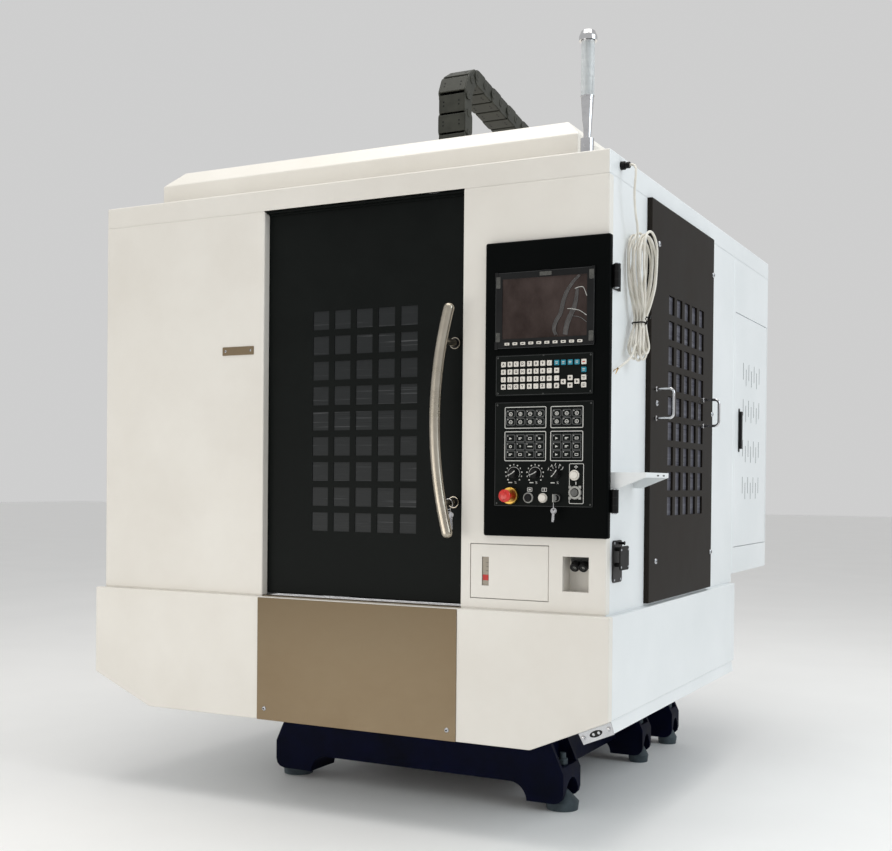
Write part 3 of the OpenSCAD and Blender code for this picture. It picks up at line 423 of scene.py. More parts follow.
def pan(name, m, face, pos, u0, u1, v0, v1, depth, holes=(), r=3.5, t=2.0, ret=0.0, body="machine", rep=(), cap=False, seg=3):
    ob = make(pan_bm(face, pos, u0, u1, v0, v1, depth, holes, r, t, ret, seg, cap), name, m, body, rep)
    so = ob.modifiers.new("sheet", "SOLIDIFY")
    so.thickness = t / 1000
    so.offset = -1
    wn = ob.modifiers.new("normals", "WEIGHTED_NORMAL")
    wn.keep_sharp = True
    return ob


def screw(bm, at, axis, r=5.0, h=2.6, mi=0, hole=1):
    """Button head with a socket."""
    lathe(bm, at, axis, [(r, -0.5), (r, 0.35 * h), (0.82 * r, 0.8 * h), (0.55 * r, h)], 20, mi)
    lathe(bm, at, axis, [(0, h + 0.05), (0.46 * r, h + 0.05), (0.5 * r, h)], 6, hole)


# ---------------------------------------------------------------- camera, floor, light
sc = bpy.context.scene
yaw, pitch, roll = math.radians(27.092), math.radians(-0.603), math.radians(0.5054)
fw = Vector((-math.sin(yaw) * math.cos(pitch), math.cos(yaw) * math.cos(pitch), math.sin(pitch)))
right = Vector((math.cos(yaw), math.sin(yaw), 0))
up = right.cross(fw)
R = right * math.cos(roll) + up * math.sin(roll)
U = up * math.cos(roll) - right * math.sin(roll)
cam = bpy.data.objects.new("camera", bpy.data.cameras.new("camera"))
sc.collection.objects.link(cam)
rot = Matrix((R, U, -fw)).transposed().to_4x4()
cam.matrix_world = Matrix.Translation(Vector((1.9959, -4.139, 1.003 + OZ))) @ rot
cam.data.sensor_width = 36.0
cam.data.lens = 49.49
cam.data.shift_x = 0.0
cam.data.shift_y = 0.0787
cam.data.clip_end = 100
sc.camera = cam
sc.view_settings.view_transform = "Standard"

bm = bmesh.new()
t = bmesh.new()
bmesh.ops.create_grid(t, x_segments=1, y_segments=1, size=40)
add(bm, t)
me = bpy.data.meshes.new("floor")
bm.to_mesh(me)
bm.free()
floor = bpy.data.objects.new("floor", me)
sc.collection.objects.link(floor)
floor.location = (0, 0, -0.0005)
M["floor"] = mat("floor", lin(240, 240, 239), lin(243, 243, 242), (0.55, 0.65), scale=1.5)
me.materials.append(M["floor"])

world = bpy.data.worlds.new("studio")
sc.world = world
world.use_nodes = True
bg = world.node_tree.nodes["Background"]
bg.inputs["Color"].default_value = (1.0, 1.0, 1.0, 1.0)
bg.inputs["Strength"].default_value = 0.62


def area(name, at, to, size, power, col):
    l = bpy.data.lights.new(name, "AREA")
    l.shape = "RECTANGLE"
    l.size, l.size_y = size
    l.energy = power
    l.color = col
    o = bpy.data.objects.new(name, l)
    sc.collection.objects.link(o)
    o.location = at
    o.rotation_euler = (Vector(to) - Vector(at)).to_track_quat("-Z", "Y").to_euler()
    return o


area("key", (5.5, -0.5, 3.4), (0.5, 0.2, 1.1), (3.5, 3.0), 92, (0.82, 0.925, 1.0))
area("top", (0.3, -0.6, 5.4), (0, 0.0, 1.6), (4.0, 4.0), 150, (1.0, 0.98, 0.94))
area("front", (-1.3, -3.9, 0.6), (0, -0.9, 0.7), (2.6, 1.1), 22, (1.0, 0.96, 0.9))

# ---------------------------------------------------------------- loose cable with its hank
D = 7.0
NECK = Vector((176.0, 1472.0))
up2 = Vector((8.0, 176.0)).normalized()
side2 = Vector((up2.y, -up2.x))
low2 = Vector((33.0, 108.0)).normalized()
lowside = Vector((low2.y, -low2.x))


def H(t, s, x):
    """Hank point above the ties: t across, s up from the neck, x out from the wall (mm)."""
    p = NECK + side2 * t + up2 * s
    return P(x, p.x, p.y)


def B(t, s, x):
    """The same below the neck, where the hank leans to the front."""
    p = NECK + lowside * t + low2 * s
    return P(x, p.x, p.y)


lead = [(926, 88, 1895), (936, 87, 1894), (944, 84, 1885), (946, 81, 1868), (944, 81, 1843), (941, 86, 1815),
        (939, 96, 1785), (938, 110, 1755), (937, 126, 1730)]
pts = [P(920, 88, 1895)] + [P(*p) for p in lead]
neck_l = [(-5.0 - 8.4 * (k % 2), 919 + 9.0 * (k // 2)) for k in range(8)]
neck_r = [(5.0 + 8.4 * (k % 2), 921 + 9.0 * (k // 2)) for k in range(7)]
top_w = [46, 63, 53, 67, 58, 65, 50]
top_s = [246, 236, 250, 232, 244, 239, 252]
bot_w = [22, 25, 21.5, 26, 23, 25.5, 22]
bot_s = [-104, -116, -98, -122, -108, -119, -102]
for k in range(8):
    a, xa = neck_l[k]
    if k == 0:
        pts += [H(-50, 214, 934), H(-58, 172, 927), H(-55, 126, 921), H(-40, 80, 919), H(-20, 38, 918)]
    pts += [H(a, 8, xa), B(a, -14, xa)]
    if k == 7:
        pts += [B(a * 0.9, -44, xa - 3), B(a * 0.8, -70, 938)]
        break
    b, xb = neck_r[k]
    w, s = bot_w[k], bot_s[k]
    xf = 914 + 7.0 * k
    pts += [B(-0.72 * w, -44, 0.5 * (xa + xf)), B(-w, s + w + 8, xf)]
    pts += [B(w * math.cos(f), s + w + w * math.sin(f), xf + 1.2 * (f - 4.7)) for f in (math.radians(g) for g in (200, 235, 270, 305, 340))]
    pts += [B(w, s + w + 8, xf + 2), B(0.72 * w, -42, 0.5 * (xb + xf))]
    pts += [B(b, -14, xb), H(b, 8, xb)]
    w, s = top_w[k], top_s[k]
    xt = 910.5 + 8.0 * k
    pts += [H(0.42 * w + 3, 46, 0.5 * (xb + xt)), H(0.8 * w, 96, xt + 1), H(0.98 * w, 142, xt + 2), H(w, s - w - 8, xt + 2.5)]
    pts += [H(w * math.cos(f), s - w + w * math.sin(f), xt + 3 - 2.2 * f) for f in (math.radians(g) for g in (20, 55, 90, 125, 160))]
    a2, xa2 = neck_l[k + 1]
    pts += [H(-w, s - w - 8, xt - 3.5), H(-0.98 * w, 142, xt - 3), H(-0.8 * w, 96, xt - 2), H(-0.42 * w - 3, 46, 0.5 * (xa2 + xt))]
tail = [(936, 118, 1392), (934, 100, 1366), (929, 78, 1348), (922, 54, 1334), (916, 30, 1322)]
pts += [P(*p) for p in tail]
path = smooth_path(pts, 8)
flat = [path[0]]
for p in path[1:]:
    if (p - flat[-1]).length > 0.0035:
        flat.append(p)
cable_len = sum((q - p).length for p, q in zip(flat, flat[1:]))
cu = bpy.data.curves.new("loose_cable", "CURVE")
cu.dimensions = "3D"
sp = cu.splines.new("POLY")
sp.points.add(len(flat) - 1)
for v, p in zip(sp.points, flat):
    v.co = (*p, 1)
sp.use_smooth = True
cu.bevel_depth = D / 2000
cu.bevel_resolution = 3
cu.use_fill_caps = True
cu.materials.append(M["cable"])
cable = bpy.data.objects.new("loose_cable", cu)
sc.collection.objects.link(cable)
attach(cable, "machine")
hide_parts("cable_lead", "cable_hank", "cable_tail")


# two cable ties, each round one half of the hank
bm = bmesh.new()
for fn, s, tc, ht, x0, x1, tl in ((H, 8, 9.2, 9.8, 915.5, 954, 15), (B, -14, -9.2, 9.8, 913.5, 952, -13)):
    ring = []
    for k in range(36):
        a = 2 * math.pi * k / 36
        c, d = math.cos(a), math.sin(a)
        tt = tc + ht * math.copysign(abs(c) ** 0.6, c)
        xx = (x0 + x1) / 2 + (x1 - x0) / 2 * math.copysign(abs(d) ** 0.6, d)
        ring.append(fn(tt, s, xx))
    tube(bm, ring, 2.0, 8, 0, close=True)
    h = fn(tc, s, x1 + 1)
    hm = ((h.x + OX) * 1000, (h.y + OY) * 1000, (h.z - OZ) * 1000)
    box(bm, (hm[0] - 2, hm[1] - 4, hm[2] - 3.5), (hm[0] + 4.5, hm[1] + 4, hm[2] + 3.5), 0.8)
    tube(bm, smooth_path([fn(tc, s, x1 + 3), fn(tc + tl * 0.4, s + 3, x1 + 4), fn(tc + tl, s + 9, x1 + 2)], 5), 1.4, 8)
ties = make(bm, "cable_ties", "plastic")

# bare wires at the end of the tail
bm = bmesh.new()
end = P(916, 30, 1322)
for k, (dx, dy, dz) in enumerate(((4, -22, -12), (-3, -25, -9), (1, -18, -16))):
    tube(bm, smooth_path([end + Vector((0, 0.004, 0.002)), end + Vector((dx, dy * 0.5, dz * 0.4)) / 1000, end + Vector((dx, dy, dz)) / 1000], 5), 1.1, 8, 0)
tail_wires = make(bm, "tail_wires", "brass")

# ---------------------------------------------------------------- cable chain
bm = bmesh.new()
dots = bmesh.new()
CX = 3.5
ch = [(830, 1884 + k * 72, 90) for k in range(8)]
ch += [(920 - 90 * math.cos(math.radians(a)), 2410 + 90 * math.sin(math.radians(a)), 90 - a) for a in (25, 60)]
ch += [(930 + k * 71, 2497 - k * 12.5, -10) for k in range(9)]
ch += [(1505 + 84 * math.sin(math.radians(a)), 2300 + 92 * math.cos(math.radians(a)), -a) for a in (35, 72)]
ch += [(1589, 2252 - k * 72, -90) for k in range(5)]


for i, (y, z, a) in enumerate(ch):
    t = bmesh.new()
    w = 56.0 - (3.0 if i % 2 else 0)
    c, s = math.cos(math.radians(a)), math.sin(math.radians(a))
    def local(bm2, pts2, x0, x1, r):
        m0 = [(y + u * c - v * s, z + u * s + v * c) for u, v in pts2]
        prism(bm2, m0, "x", CX + x0, CX + x1, r, 0, 2)
    def local2(bm2, pts2, x0, x1):
        m0 = [(y + u * c - v * s, z + u * s + v * c) for u, v in pts2]
        prism(dots, m0, "x", CX + x0, CX + x1, 0, 1)
    for sg in (-1, 1):
        xa, xb = (w - 6, w) if sg > 0 else (-w, -w + 6)
        local(t, rrect(-44, 44, -29.4, 29.4, 21, 6), xa, xb, 1.6)
        if i % 2 == 0:
            for u in (-36, 36):
                o = (CX + (w if sg > 0 else -w), y + u * c, z + u * s)
                lathe(t, o, (sg, 0, 0), [(15, -0.5), (15, 1.4), (13.5, 2.2), (7, 2.2), (6, 1.2), (0, 1.2)], 20)
    for v0, sg in ((-30.5, -1), (24.5, 1)):
        local(t, rrect(-32.5, 32.5, v0, v0 + 6, 2.4, 3), -w + 4, w - 4, 0.0)
        vf = v0 if sg < 0 else v0 + 6
        for dx in (-0.62, 0.55):
            for du in (-7, 7):
                local2(t, [(du - 2.6, vf - 0.4), (du + 2.6, vf - 0.4), (du + 2.6, vf + 0.4), (du - 2.6, vf + 0.4)], dx * w - 2.6, dx * w + 2.6)
    add(bm, t)
add(bm, dots, 1)
run = [P(CX, y, z) for y, z, a in ch]
run = smooth_path(run, 4)
for k, (dx, dn, r) in enumerate(((-30, 0, 7.5), (-13, 5, 6), (2, -6, 8.5), (19, 4, 6.5), (33, -3, 5))):
    line = []
    for i, p in enumerate(run):
        d = (run[min(i + 1, len(run) - 1)] - run[max(i - 1, 0)]).normalized()
        nrm = Vector((0, -d.z, d.y))
        line.append(p + Vector((dx / 1000, 0, 0)) + nrm * dn / 1000)
    tube(bm, line, r, 10, 1)
chain = make(bm, "cable_chain_links", ["chain", "hose"], ride=False)
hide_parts("cable_chain")
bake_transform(chain)

# ---------------------------------------------------------------- white enclosure
G = 0.7
Z0, Z1 = 640 + G, 1857 - G
pan("left_panel_skin", "white", "-y", 0, -900, -250, Z0, Z1, 28, r=4, rep="left_front_panel")
pan("right_panel_skin", "white", "-y", 0, 453, 900, Z0, Z1, 28, r=4, rep="operator_housing",
    holes=[(484, 730, 670, 829), (771, 849, 702, 800), (548, 886, 868, 1672)], ret=9)
pan("control_box", "inner", "+y", 172, 480, 872, 645, 1700, 143, r=3)
pan("air_pocket", "white", "+y", 62, 769, 851, 700, 802, 58, r=3)
# side and rear skins take the bluer copy of the white paint: painted side light
pan("right_wall_skin", "side_white", "+x", 900, 28 + G, 1385 - G, Z0, Z1, 25, holes=[(352, 1012, 668, 1838)], r=3, rep="right_wall")
pan("left_wall_skin", "side_white", "-x", -900, 28 + G, 1954, Z0, Z1, 25, r=4, rep="left_wall")
pan("rear_wall_skin", "side_white", "+y", 1954, -875 + G, 400 - G, Z0, Z1, 25, r=3, rep="rear_wall")
band = pan("roof_band", "white", "+z", 1924, -900, 900, 0, 1954, 66, holes=[(-738, 738, 142, 1398)], r=5, rep="roof_frame")
band.data.materials.append(M["side_white"])
# band faces turned to the right side and to the back get the bluer copy of the white: painted side light
for f in band.data.polygons:
    if abs(f.normal.x) > 0.6 or f.normal.y > 0.6:
        f.material_index = 1
# cabinet and its door take the bluer copy of the white: painted side light
pan("cabinet_skin", "side_white", "+x", 900, 1385 + G, 1954, 668 + G, Z1, 498, holes=[(1411.5, 1938.5, 768.5, 1656.5)], ret=22, r=7, seg=4, cap=True,
    rep="electrical_cabinet")
slits = [(1542 + k * 44 - 1.8, 1542 + k * 44 + 1.8, z - 42 + (0 if k % 2 else 22), z + 20 + (0 if k % 2 else 22))
         for z in (1433, 1293, 1136, 993) for k in range(7)]
pan("cabinet_door_skin", "side_white", "+x", 900, 1413, 1937, 770, 1655, 20, holes=slits, r=3.5, body="electrics_door", rep="cabinet_door")
pan("lube_door_skin", "white", "-y", 0, 485.5, 728.5, 671.5, 827.5, 14, holes=[(522, 544, 708, 791)], ret=2, r=2.5, body="pump_door", rep="lube_door")
win = lambda cu, cv, pu, pv: [(cu + (i - 2) * pu - 29, cu + (i - 2) * pu + 29, cv + (j - 4) * pv - 29, cv + (j - 4) * pv + 29) for i in range(5) for j in range(9)]
pan("side_panel_skin", "dark", "+x", 916, 329, 1034, 648, 1858, 16, holes=win(707, 1249, 85.8, 78.3), ret=6.8, r=3, rep="side_panel")
pan("door_skin", "black", "-y", 31, -276, 472, 648, 1848, 28, holes=win(102, 1191.5, 78.3, 78.3), ret=2.2, r=3, body="door", rep="door_panel")
pan("operator_frame_skin", "frame", "-y", -20, 534, 910, 853, 1688, 19.4, holes=[(579, 856, 1395, 1589), (580, 856, 1260, 1356), (580, 856, 949, 1222)], r=6, seg=4,
    body="control_panel", rep="operator_frame")

# strips behind the seams of the sheets
# the strips on the sides and back use the bluer copy of the white: painted side light
bm = bmesh.new()
for x0, x1 in ((-897, -252), (455, 897)):
    box(bm, (x0, 0.9, 1848), (x1, 3, 1866), 0.3, 0)
for x0, x1 in ((-899.1, -897), (897, 899.1)):
    box(bm, (x0, 3, 1848), (x1, 1951, 1866), 0.3, 1)
box(bm, (-897, 1951, 1848), (897, 1953.1, 1866), 0.3, 1)
box(bm, (903, 1, 345), (917.4, 1328, 354), 0.5, 1)
for x0, x1 in ((-897, -252), (455, 897)):
    box(bm, (x0, 0.9, 633), (x1, 3, 648), 0.3, 0)
for x0, x1 in ((-899.1, -897), (897, 899.1)):
    box(bm, (x0, 3, 633), (x1, 1350, 648), 0.3, 1)
make(bm, "seam_strips", ["white", "side_white"])
# seal over the door, sill and guide rail under it
bm = bmesh.new()
box(bm, (-249, 10, 1850), (452, 29.5, 1857), 1.0)
box(bm, (-249, 24, 1845), (452, 29.5, 1852), 1.0)
make(bm, "door_top_seal", "black")
bm = bmesh.new()
box(bm, (-249, 0.4, 630), (452, 62, 641), 1.5)
box(bm, (-249, 41, 640), (452, 49, 646), 1.0, 1)
make(bm, "door_sill", ["stainless", "steel"])

# door hangers behind the door sheet
bm = bmesh.new()
for x in (-180, 376):
    box(bm, (x - 40, 59, 1800), (x + 40, 66, 1845), 1.5)
    box(bm, (x - 40, 33, 1838), (x + 40, 60, 1845), 1.0)
    for dx in (-24, 24):
        cyl(bm, (x + dx, 59, 1819), (0, -1, 0), 6, 4, 0.8, 6, 1)
make(bm, "door_hangers", ["zinc", "steel"], "door")

# skirt: front with slanted corners, and two sides
bm = bmesh.new()
sx, xf = 920, 686
o = [(-sx, 640 - G), (-sx, 352), (-xf, 252), (xf, 252), (sx, 352), (sx, 640 - G)]
fr = [bm.verts.new(P(x, -25, z)) for x, z in o]
bk = [bm.verts.new(P(x, 0, z)) for x, z in o]
bm.faces.new(fr)
for k in range(6):
    bm.faces.new((fr[k], fr[(k + 1) % 6], bk[(k + 1) % 6], bk[k]))
bmesh.ops.recalc_face_normals(bm, faces=bm.faces[:])
bm.faces.ensure_lookup_table()
if bm.faces[0].normal.y > 0:
    bmesh.ops.reverse_faces(bm, faces=bm.faces[:])
bm.normal_update()
bmesh.ops.bevel(bm, geom=[e for e in bm.edges if len(e.link_faces) == 2], offset=0.004, segments=3, profile=0.5, affect="EDGES")
ob = make(bm, "skirt_front", "white", rep="skirt")
so = ob.modifiers.new("sheet", "SOLIDIFY")
so.thickness, so.offset = 0.002, -1
ob.modifiers.new("normals", "WEIGHTED_NORMAL").keep_sharp = True
# skirt sides take the bluer copy of the white: painted side light
pan("skirt_right", "side_white", "+x", 920, 0 + G, 1360, 352, 640 - G, 26, r=3.5)
pan("skirt_left", "side_white", "-x", -920, 0 + G, 1360, 352, 640 - G, 26, r=3.5)

# hood: three rings of points and a top with the chain slot
bm = bmesh.new()
xs, ys = [-707, -90, 80, 707], [173, 770, 960, 1420]
grid = {}
def gv(i, j):
    if (i, j) not in grid:
        grid[(i, j)] = bm.verts.new(P(xs[i], ys[j], 2065))
    return grid[(i, j)]
for i in range(3):
    for j in range(3):
        if (i, j) != (1, 1):
            bm.faces.new((gv(i, j), gv(i + 1, j), gv(i + 1, j + 1), gv(i, j + 1)))
loop = [(i, 0) for i in range(3)] + [(3, j) for j in range(3)] + [(i, 3) for i in range(3, 0, -1)] + [(0, j) for j in range(3, 0, -1)]
rings = [[gv(*k) for k in loop]]
for z in (2012, 1925):
    ring = []
    for i, j in loop:
        x = -760 if i == 0 else 760 if i == 3 else xs[i]
        y = 120 if j == 0 else ys[j]
        ring.append(bm.verts.new(P(x, y, z)))
    rings.append(ring)
for a, b in zip(rings, rings[1:]):
    for k in range(len(loop)):
        j = (k + 1) % len(loop)
        bm.faces.new((a[k], a[j], b[j], b[k]))
bmesh.ops.recalc_face_normals(bm, faces=bm.faces[:])
bm.faces.ensure_lookup_table()
if bm.faces[0].normal.z < 0:
    bmesh.ops.reverse_faces(bm, faces=bm.faces[:])
bm.normal_update()
bmesh.ops.bevel(bm, geom=[e for e in bm.edges if len(e.link_faces) == 2 and e.calc_face_angle(0) > 0.3], offset=0.004, segments=3, profile=0.5, affect="EDGES")
ob = make(bm, "hood_skin", "white", rep="roof_hood")
so = ob.modifiers.new("sheet", "SOLIDIFY")
so.thickness, so.offset = 0.002, -1
ob.modifiers.new("normals", "WEIGHTED_NORMAL").keep_sharp = True

# ---------------------------------------------------------------- stainless plates
bm = bmesh.new()
prism(bm, rrect(-247, 455, 252.5, 637, 2), "y", -27.4, -25, 0.5)
# kick plate in the stainless with painted shade, darker towards the top
kick = make(bm, "kick_plate", "kick", rep="trim_plates")
bm = bmesh.new()
prism(bm, rrect(-410, -288, 1406, 1433, 2), "y", -2.2, 0.2, 0.4)
make(bm, "small_plate", "stainless")
bm = bmesh.new()
prism(bm, [(823, 309), (918, 350), (928, 317), (839, 279)], "y", -0.2, 2.0, 0.4)
prism(bm, [(875 + 20 * math.cos(a) * 0.92 - 9 * math.sin(a) * 0.4, 314 + 20 * math.cos(a) * 0.4 + 9 * math.sin(a) * 0.92)
           for a in (2 * math.pi * k / 24 for k in range(24))], "y", -0.5, 0.5, 0, 1)
for x, z in ((868, 311.4), (883, 317.6)):
    lathe(bm, (x, 0.4, z), (0, -1, 0), [(0, 3.0), (3.2, 2.8), (4.6, 1.6), (5.0, 0)], 16, 0)
for x, z in ((838, 299.5), (912, 331.5)):
    lathe(bm, (x, 0, z), (0, -1, 0), [(0, 3.4), (3.6, 3.2), (5.6, 1.8), (6.0, 0)], 16, 2)
make(bm, "drain_plate", ["steel", "void", "chrome"])

# ---------------------------------------------------------------- CAD nodes that stay: finish and rounded edges
def dress(node, m, w=1.0, seg=2, ang=32, weld=True):
    ob = NODE[node]
    ob.data.materials.clear() if False else None
    for s in ob.material_slots:
        s.link = "OBJECT"
        s.material = M[m]
    if not ob.material_slots:
        ob.data.materials.append(M[m])
    if weld:
        we = ob.modifiers.new("weld", "WELD")
        we.merge_threshold = 0.00002
    if w:
        be = ob.modifiers.new("edge", "BEVEL")
        be.width = w / 1000
        be.segments = seg
        be.limit_method = "ANGLE"
        be.angle_limit = math.radians(ang)
        be.use_clamp_overlap = True
        be.miter_outer = "MITER_ARC"
        wn = ob.modifiers.new("normals", "WEIGHTED_NORMAL")
        wn.keep_sharp = False


# chip tray, shelf and other side parts use the bluer copy of the white: painted side light
for node, m, w in (
        ("base_casting", "navy", 4.0), ("levelling_bolts", "pad", 1.2), ("column", "navy", 4.0), ("guide_rails", "steel", 0.6),
        ("servo_motors", "motor", 2.0), ("chip_tray", "side_white", 0), ("panel_hinges", "plastic", 1.0), ("air_coupling", "screw_dark", 0.8),
        ("chamber_back", "inner", 1.0), ("side_pane", "side_window", 0.5), ("side_handles", "chrome", 0), ("shelf", "side_white", 0.5),
        ("lube_pump", "tank", 3.0), ("beacon_post", "chrome", 0.8), ("beacon_lens", "lens", 0.6),
        ("cable_gland", "plastic", 0.8), ("drive_units", "drive", 2.0), ("magazine_bracket", "casting", 3.0), ("magazine_disc", "steel", 1.0),
        ("door_pane", "window", 0.5), ("door_handle", "satin", 0), ("door_rail", "steel", 0.8), ("lcd_unit", "bezel", 0.8),
        ("keypad", "panel", 0.8), ("switch_panel", "panel", 0.4), ("feed_knob", "plastic", 0.8), ("spindle_knob", "plastic", 0.8),
        ("mode_knob", "plastic", 0.8), ("estop_button", "red", 0.8), ("start_button", "key", 1.0), ("hold_button", "plastic", 1.0),
        ("power_button", "key", 1.0), ("dark_button", "screw_dark", 1.0), ("key_switch", "gun", 0.4), ("cabinet_handle", "plastic", 2.2),
        ("saddle", "navy", 3.0), ("table", "casting", 1.5), ("spindle_head", "drive", 4.0), ("spindle", "steel", 0.8), ("spindle_motor", "motor", 3.0)):
    dress(node, m, w)

# ---------------------------------------------------------------- control panel
def ring_flat(bm, outer, inner, axis, w0, w1, mi=0):
    """Flat frame between two outlines with the same number of points."""
    def q(p, w):
        return P(w, *p) if axis == "x" else P(p[0], w, p[1])
    t = bmesh.new()
    a = [[t.verts.new(q(p, w)) for p in o] for o in (outer, inner) for w in (w0, w1)]
    n = len(outer)
    for k in range(n):
        j = (k + 1) % n
        t.faces.new((a[0][k], a[0][j], a[2][j], a[2][k]))
        t.faces.new((a[1][k], a[1][j], a[3][j], a[3][k]))
        t.faces.new((a[0][k], a[0][j], a[1][j], a[1][k]))
        t.faces.new((a[2][k], a[2][j], a[3][j], a[3][k]))
    bmesh.ops.recalc_face_normals(t, faces=t.faces[:])
    add(bm, t, mi)


def outline(bm, x0, x1, z0, z1, r, w, axis, w0, w1, mi=0):
    ring_flat(bm, rrect(x0, x1, z0, z1, r), rrect(x0 + w, x1 - w, z0 + w, z1 - w, max(r - w, 0.3)), axis, w0, w1, mi)


def disc(bm, x, z, r, y0, y1, mi=0, n=16):
    prism(bm, [(x + r * math.cos(2 * math.pi * k / n), z + r * math.sin(2 * math.pi * k / n)) for k in range(n)], "y", y0, y1, 0, mi)


def washer(bm, x, z, r0, r1, y0, y1, mi=0, n=24):
    c = lambda r: [(x + r * math.cos(2 * math.pi * k / n), z + r * math.sin(2 * math.pi * k / n)) for k in range(n)]
    ring_flat(bm, c(r1), c(r0), "y", y0, y1, mi)


def glyphs(bm, items, y, mi=0, t=0.25, bold=0.0):
    """Raised plain letters and figures on a face that looks to the front: (text, x, z, height in mm)."""
    for text, x, z, h in items:
        cu = bpy.data.curves.new("g", "FONT")
        cu.body = text
        cu.size = h * 1.38
        cu.align_x, cu.align_y = "CENTER", "CENTER"
        cu.resolution_u = 2
        cu.extrude = t / 2
        cu.offset = bold
        o = bpy.data.objects.new("g", cu)
        me = bpy.data.meshes.new_from_object(o)
        for v in me.vertices:
            v.co = P(x + v.co.x, y - v.co.z, z + v.co.y)
        for p in me.polygons:
            p.material_index = mi
        bm.from_mesh(me)
        bpy.data.meshes.remove(me)
        bpy.data.objects.remove(o)
        bpy.data.curves.remove(cu)


# display: bezel, filmed screen, soft keys and corner clips
bm = pan_bm("-y", -24, 569, 866, 1385, 1599, 4, holes=[(590, 845, 1411, 1581)], r=1.2, ret=2.0)
box(bm, (579, -20, 1395), (856, 45, 1589), 2)
# lighter outline round the bezel: painted edge highlight
outline(bm, 569.2, 865.8, 1385.2, 1598.8, 1.2, 0.9, "y", -24.3, -23.9, 1)
for x, z in ((572, 1590), (863, 1590), (572, 1394), (863, 1400)):
    box(bm, (x - 5, -25.2, z - 11), (x + 5, -22, z + 11), 1.2)
for z in (1386.5, 1597.5):
    box(bm, (708, -25.2, z - 3), (736, -22, z + 3), 1.0)
for x in (600, 700, 800):
    cyl(bm, (x, 45, 1480), (0, 1, 0), 8, 5, 0.8, 18)
make(bm, "display_bezel", ["bezel", "edge"], "control_panel", rep="lcd_unit")
# wavy filmed screen in the screen material, whose brown tone is painted reflection
bm = bmesh.new()
nx, nz = 34, 24
g = [[bm.verts.new(P(588 + 259 * i / nx, -22.3 - 0.55 * math.sin(5.1 * i / nx + 2.3 * math.sin(4 * j / nz)) * math.sin(3.4 * j / nz + 0.8), 1409 + 174 * j / nz))
      for j in range(nz + 1)] for i in range(nx + 1)]
for i in range(nx):
    for j in range(nz):
        bm.faces.new((g[i][j], g[i + 1][j], g[i + 1][j + 1], g[i][j + 1]))
bmesh.ops.recalc_face_normals(bm, faces=bm.faces[:])
bm.faces.ensure_lookup_table()
if bm.faces[0].normal.y > 0:
    bmesh.ops.reverse_faces(bm, faces=bm.faces[:])


def band_strip(bm, pts, y, mi):
    """Flat strip: pts are (x, z, width)."""
    t = bmesh.new()
    line = smooth_path([Vector(q) for q in pts], 8)
    prev = None
    for i, q in enumerate(line):
        d = (line[min(i + 1, len(line) - 1)] - line[max(i - 1, 0)])
        d = Vector((d.x, d.y)).normalized()
        n2 = Vector((-d.y, d.x)) * q.z / 2
        row = [t.verts.new(P(q.x - n2.x, y, q.y - n2.y)), t.verts.new(P(q.x, y - 0.5, q.y)), t.verts.new(P(q.x + n2.x, y, q.y + n2.y))]
        if prev:
            t.faces.new((prev[0], prev[1], row[1], row[0]))
            t.faces.new((prev[1], prev[2], row[2], row[1]))
        prev = row
    bmesh.ops.recalc_face_normals(t, faces=t.faces[:])
    t.faces.ensure_lookup_table()
    if t.faces[0].normal.y > 0:
        bmesh.ops.reverse_faces(t, faces=t.faces[:])
    add(bm, t, mi)


# film folds: strips raised 0.5 mm; their pale colour is painted sheen, and the thin grey lines along their edges are
# painted highlights
hose1 = [(823, 1579), (804, 1561), (786, 1536), (775, 1508), (767, 1476), (754, 1455), (748, 1433), (754, 1417)]
hose2 = [(816, 1543), (813.5, 1517), (807.5, 1491), (794, 1464), (786, 1442), (781, 1416)]
for path, w in ((hose1, 9.5), (hose2, 12.5)):
    band_strip(bm, [(x, z, w * (0.5 + 0.5 * min(1, i * 0.4))) for i, (x, z) in enumerate(path)], -23.1, 1)
    for sg in (-1, 1):
        band_strip(bm, [(x + sg * w * (0.25 + 0.25 * min(1, i * 0.4)), z - sg * 1.5, 1.0) for i, (x, z) in enumerate(path)], -23.6, 3)
# thin bright lines over the folds: painted highlights
for strip in ([(809, 1542, 1.6), (820, 1545, 2.2), (832, 1545, 2.0), (838, 1536, 1.6), (844, 1520, 2.4)],
              [(787, 1488, 1.4), (804, 1486, 2.0), (825, 1480, 1.6), (844, 1467, 2.2)]):
    band_strip(bm, strip, -23.7, 2)
# faint third line: painted highlight
band_strip(bm, [(801, 1467, 1.0), (825, 1462, 1.4), (844, 1448, 1.2)], -23.6, 3)
make(bm, "screen_film", ["screen", "fold_sheen_painted", "glint_line_painted", "cell"], "control_panel", smooth=60)
bm = bmesh.new()
for x0, x1, z0, z1 in ((571, 584, 1556, 1588), (571, 584, 1404, 1430), (851, 865, 1566, 1592), (851, 865, 1396, 1424), (704, 740, 1584, 1595)):
    prism(bm, rrect(x0, x1, z0, z1, 1.5), "y", -25.4, -24.0, 0.3)
make(bm, "film_tapes", "filmtape", "control_panel")
bm = bmesh.new()
for k in range(10):
    x = 606 + 24.4 * k
    box(bm, (x - 7.4, -26.4, 1393.4), (x + 7.4, -23.5, 1401), 1.2, 0)
    box(bm, (x - 3.4, -26.6, 1396.0), (x + 3.4, -26.2, 1398.4), 0, 1)
make(bm, "soft_keys", ["key", "ink"], "control_panel")

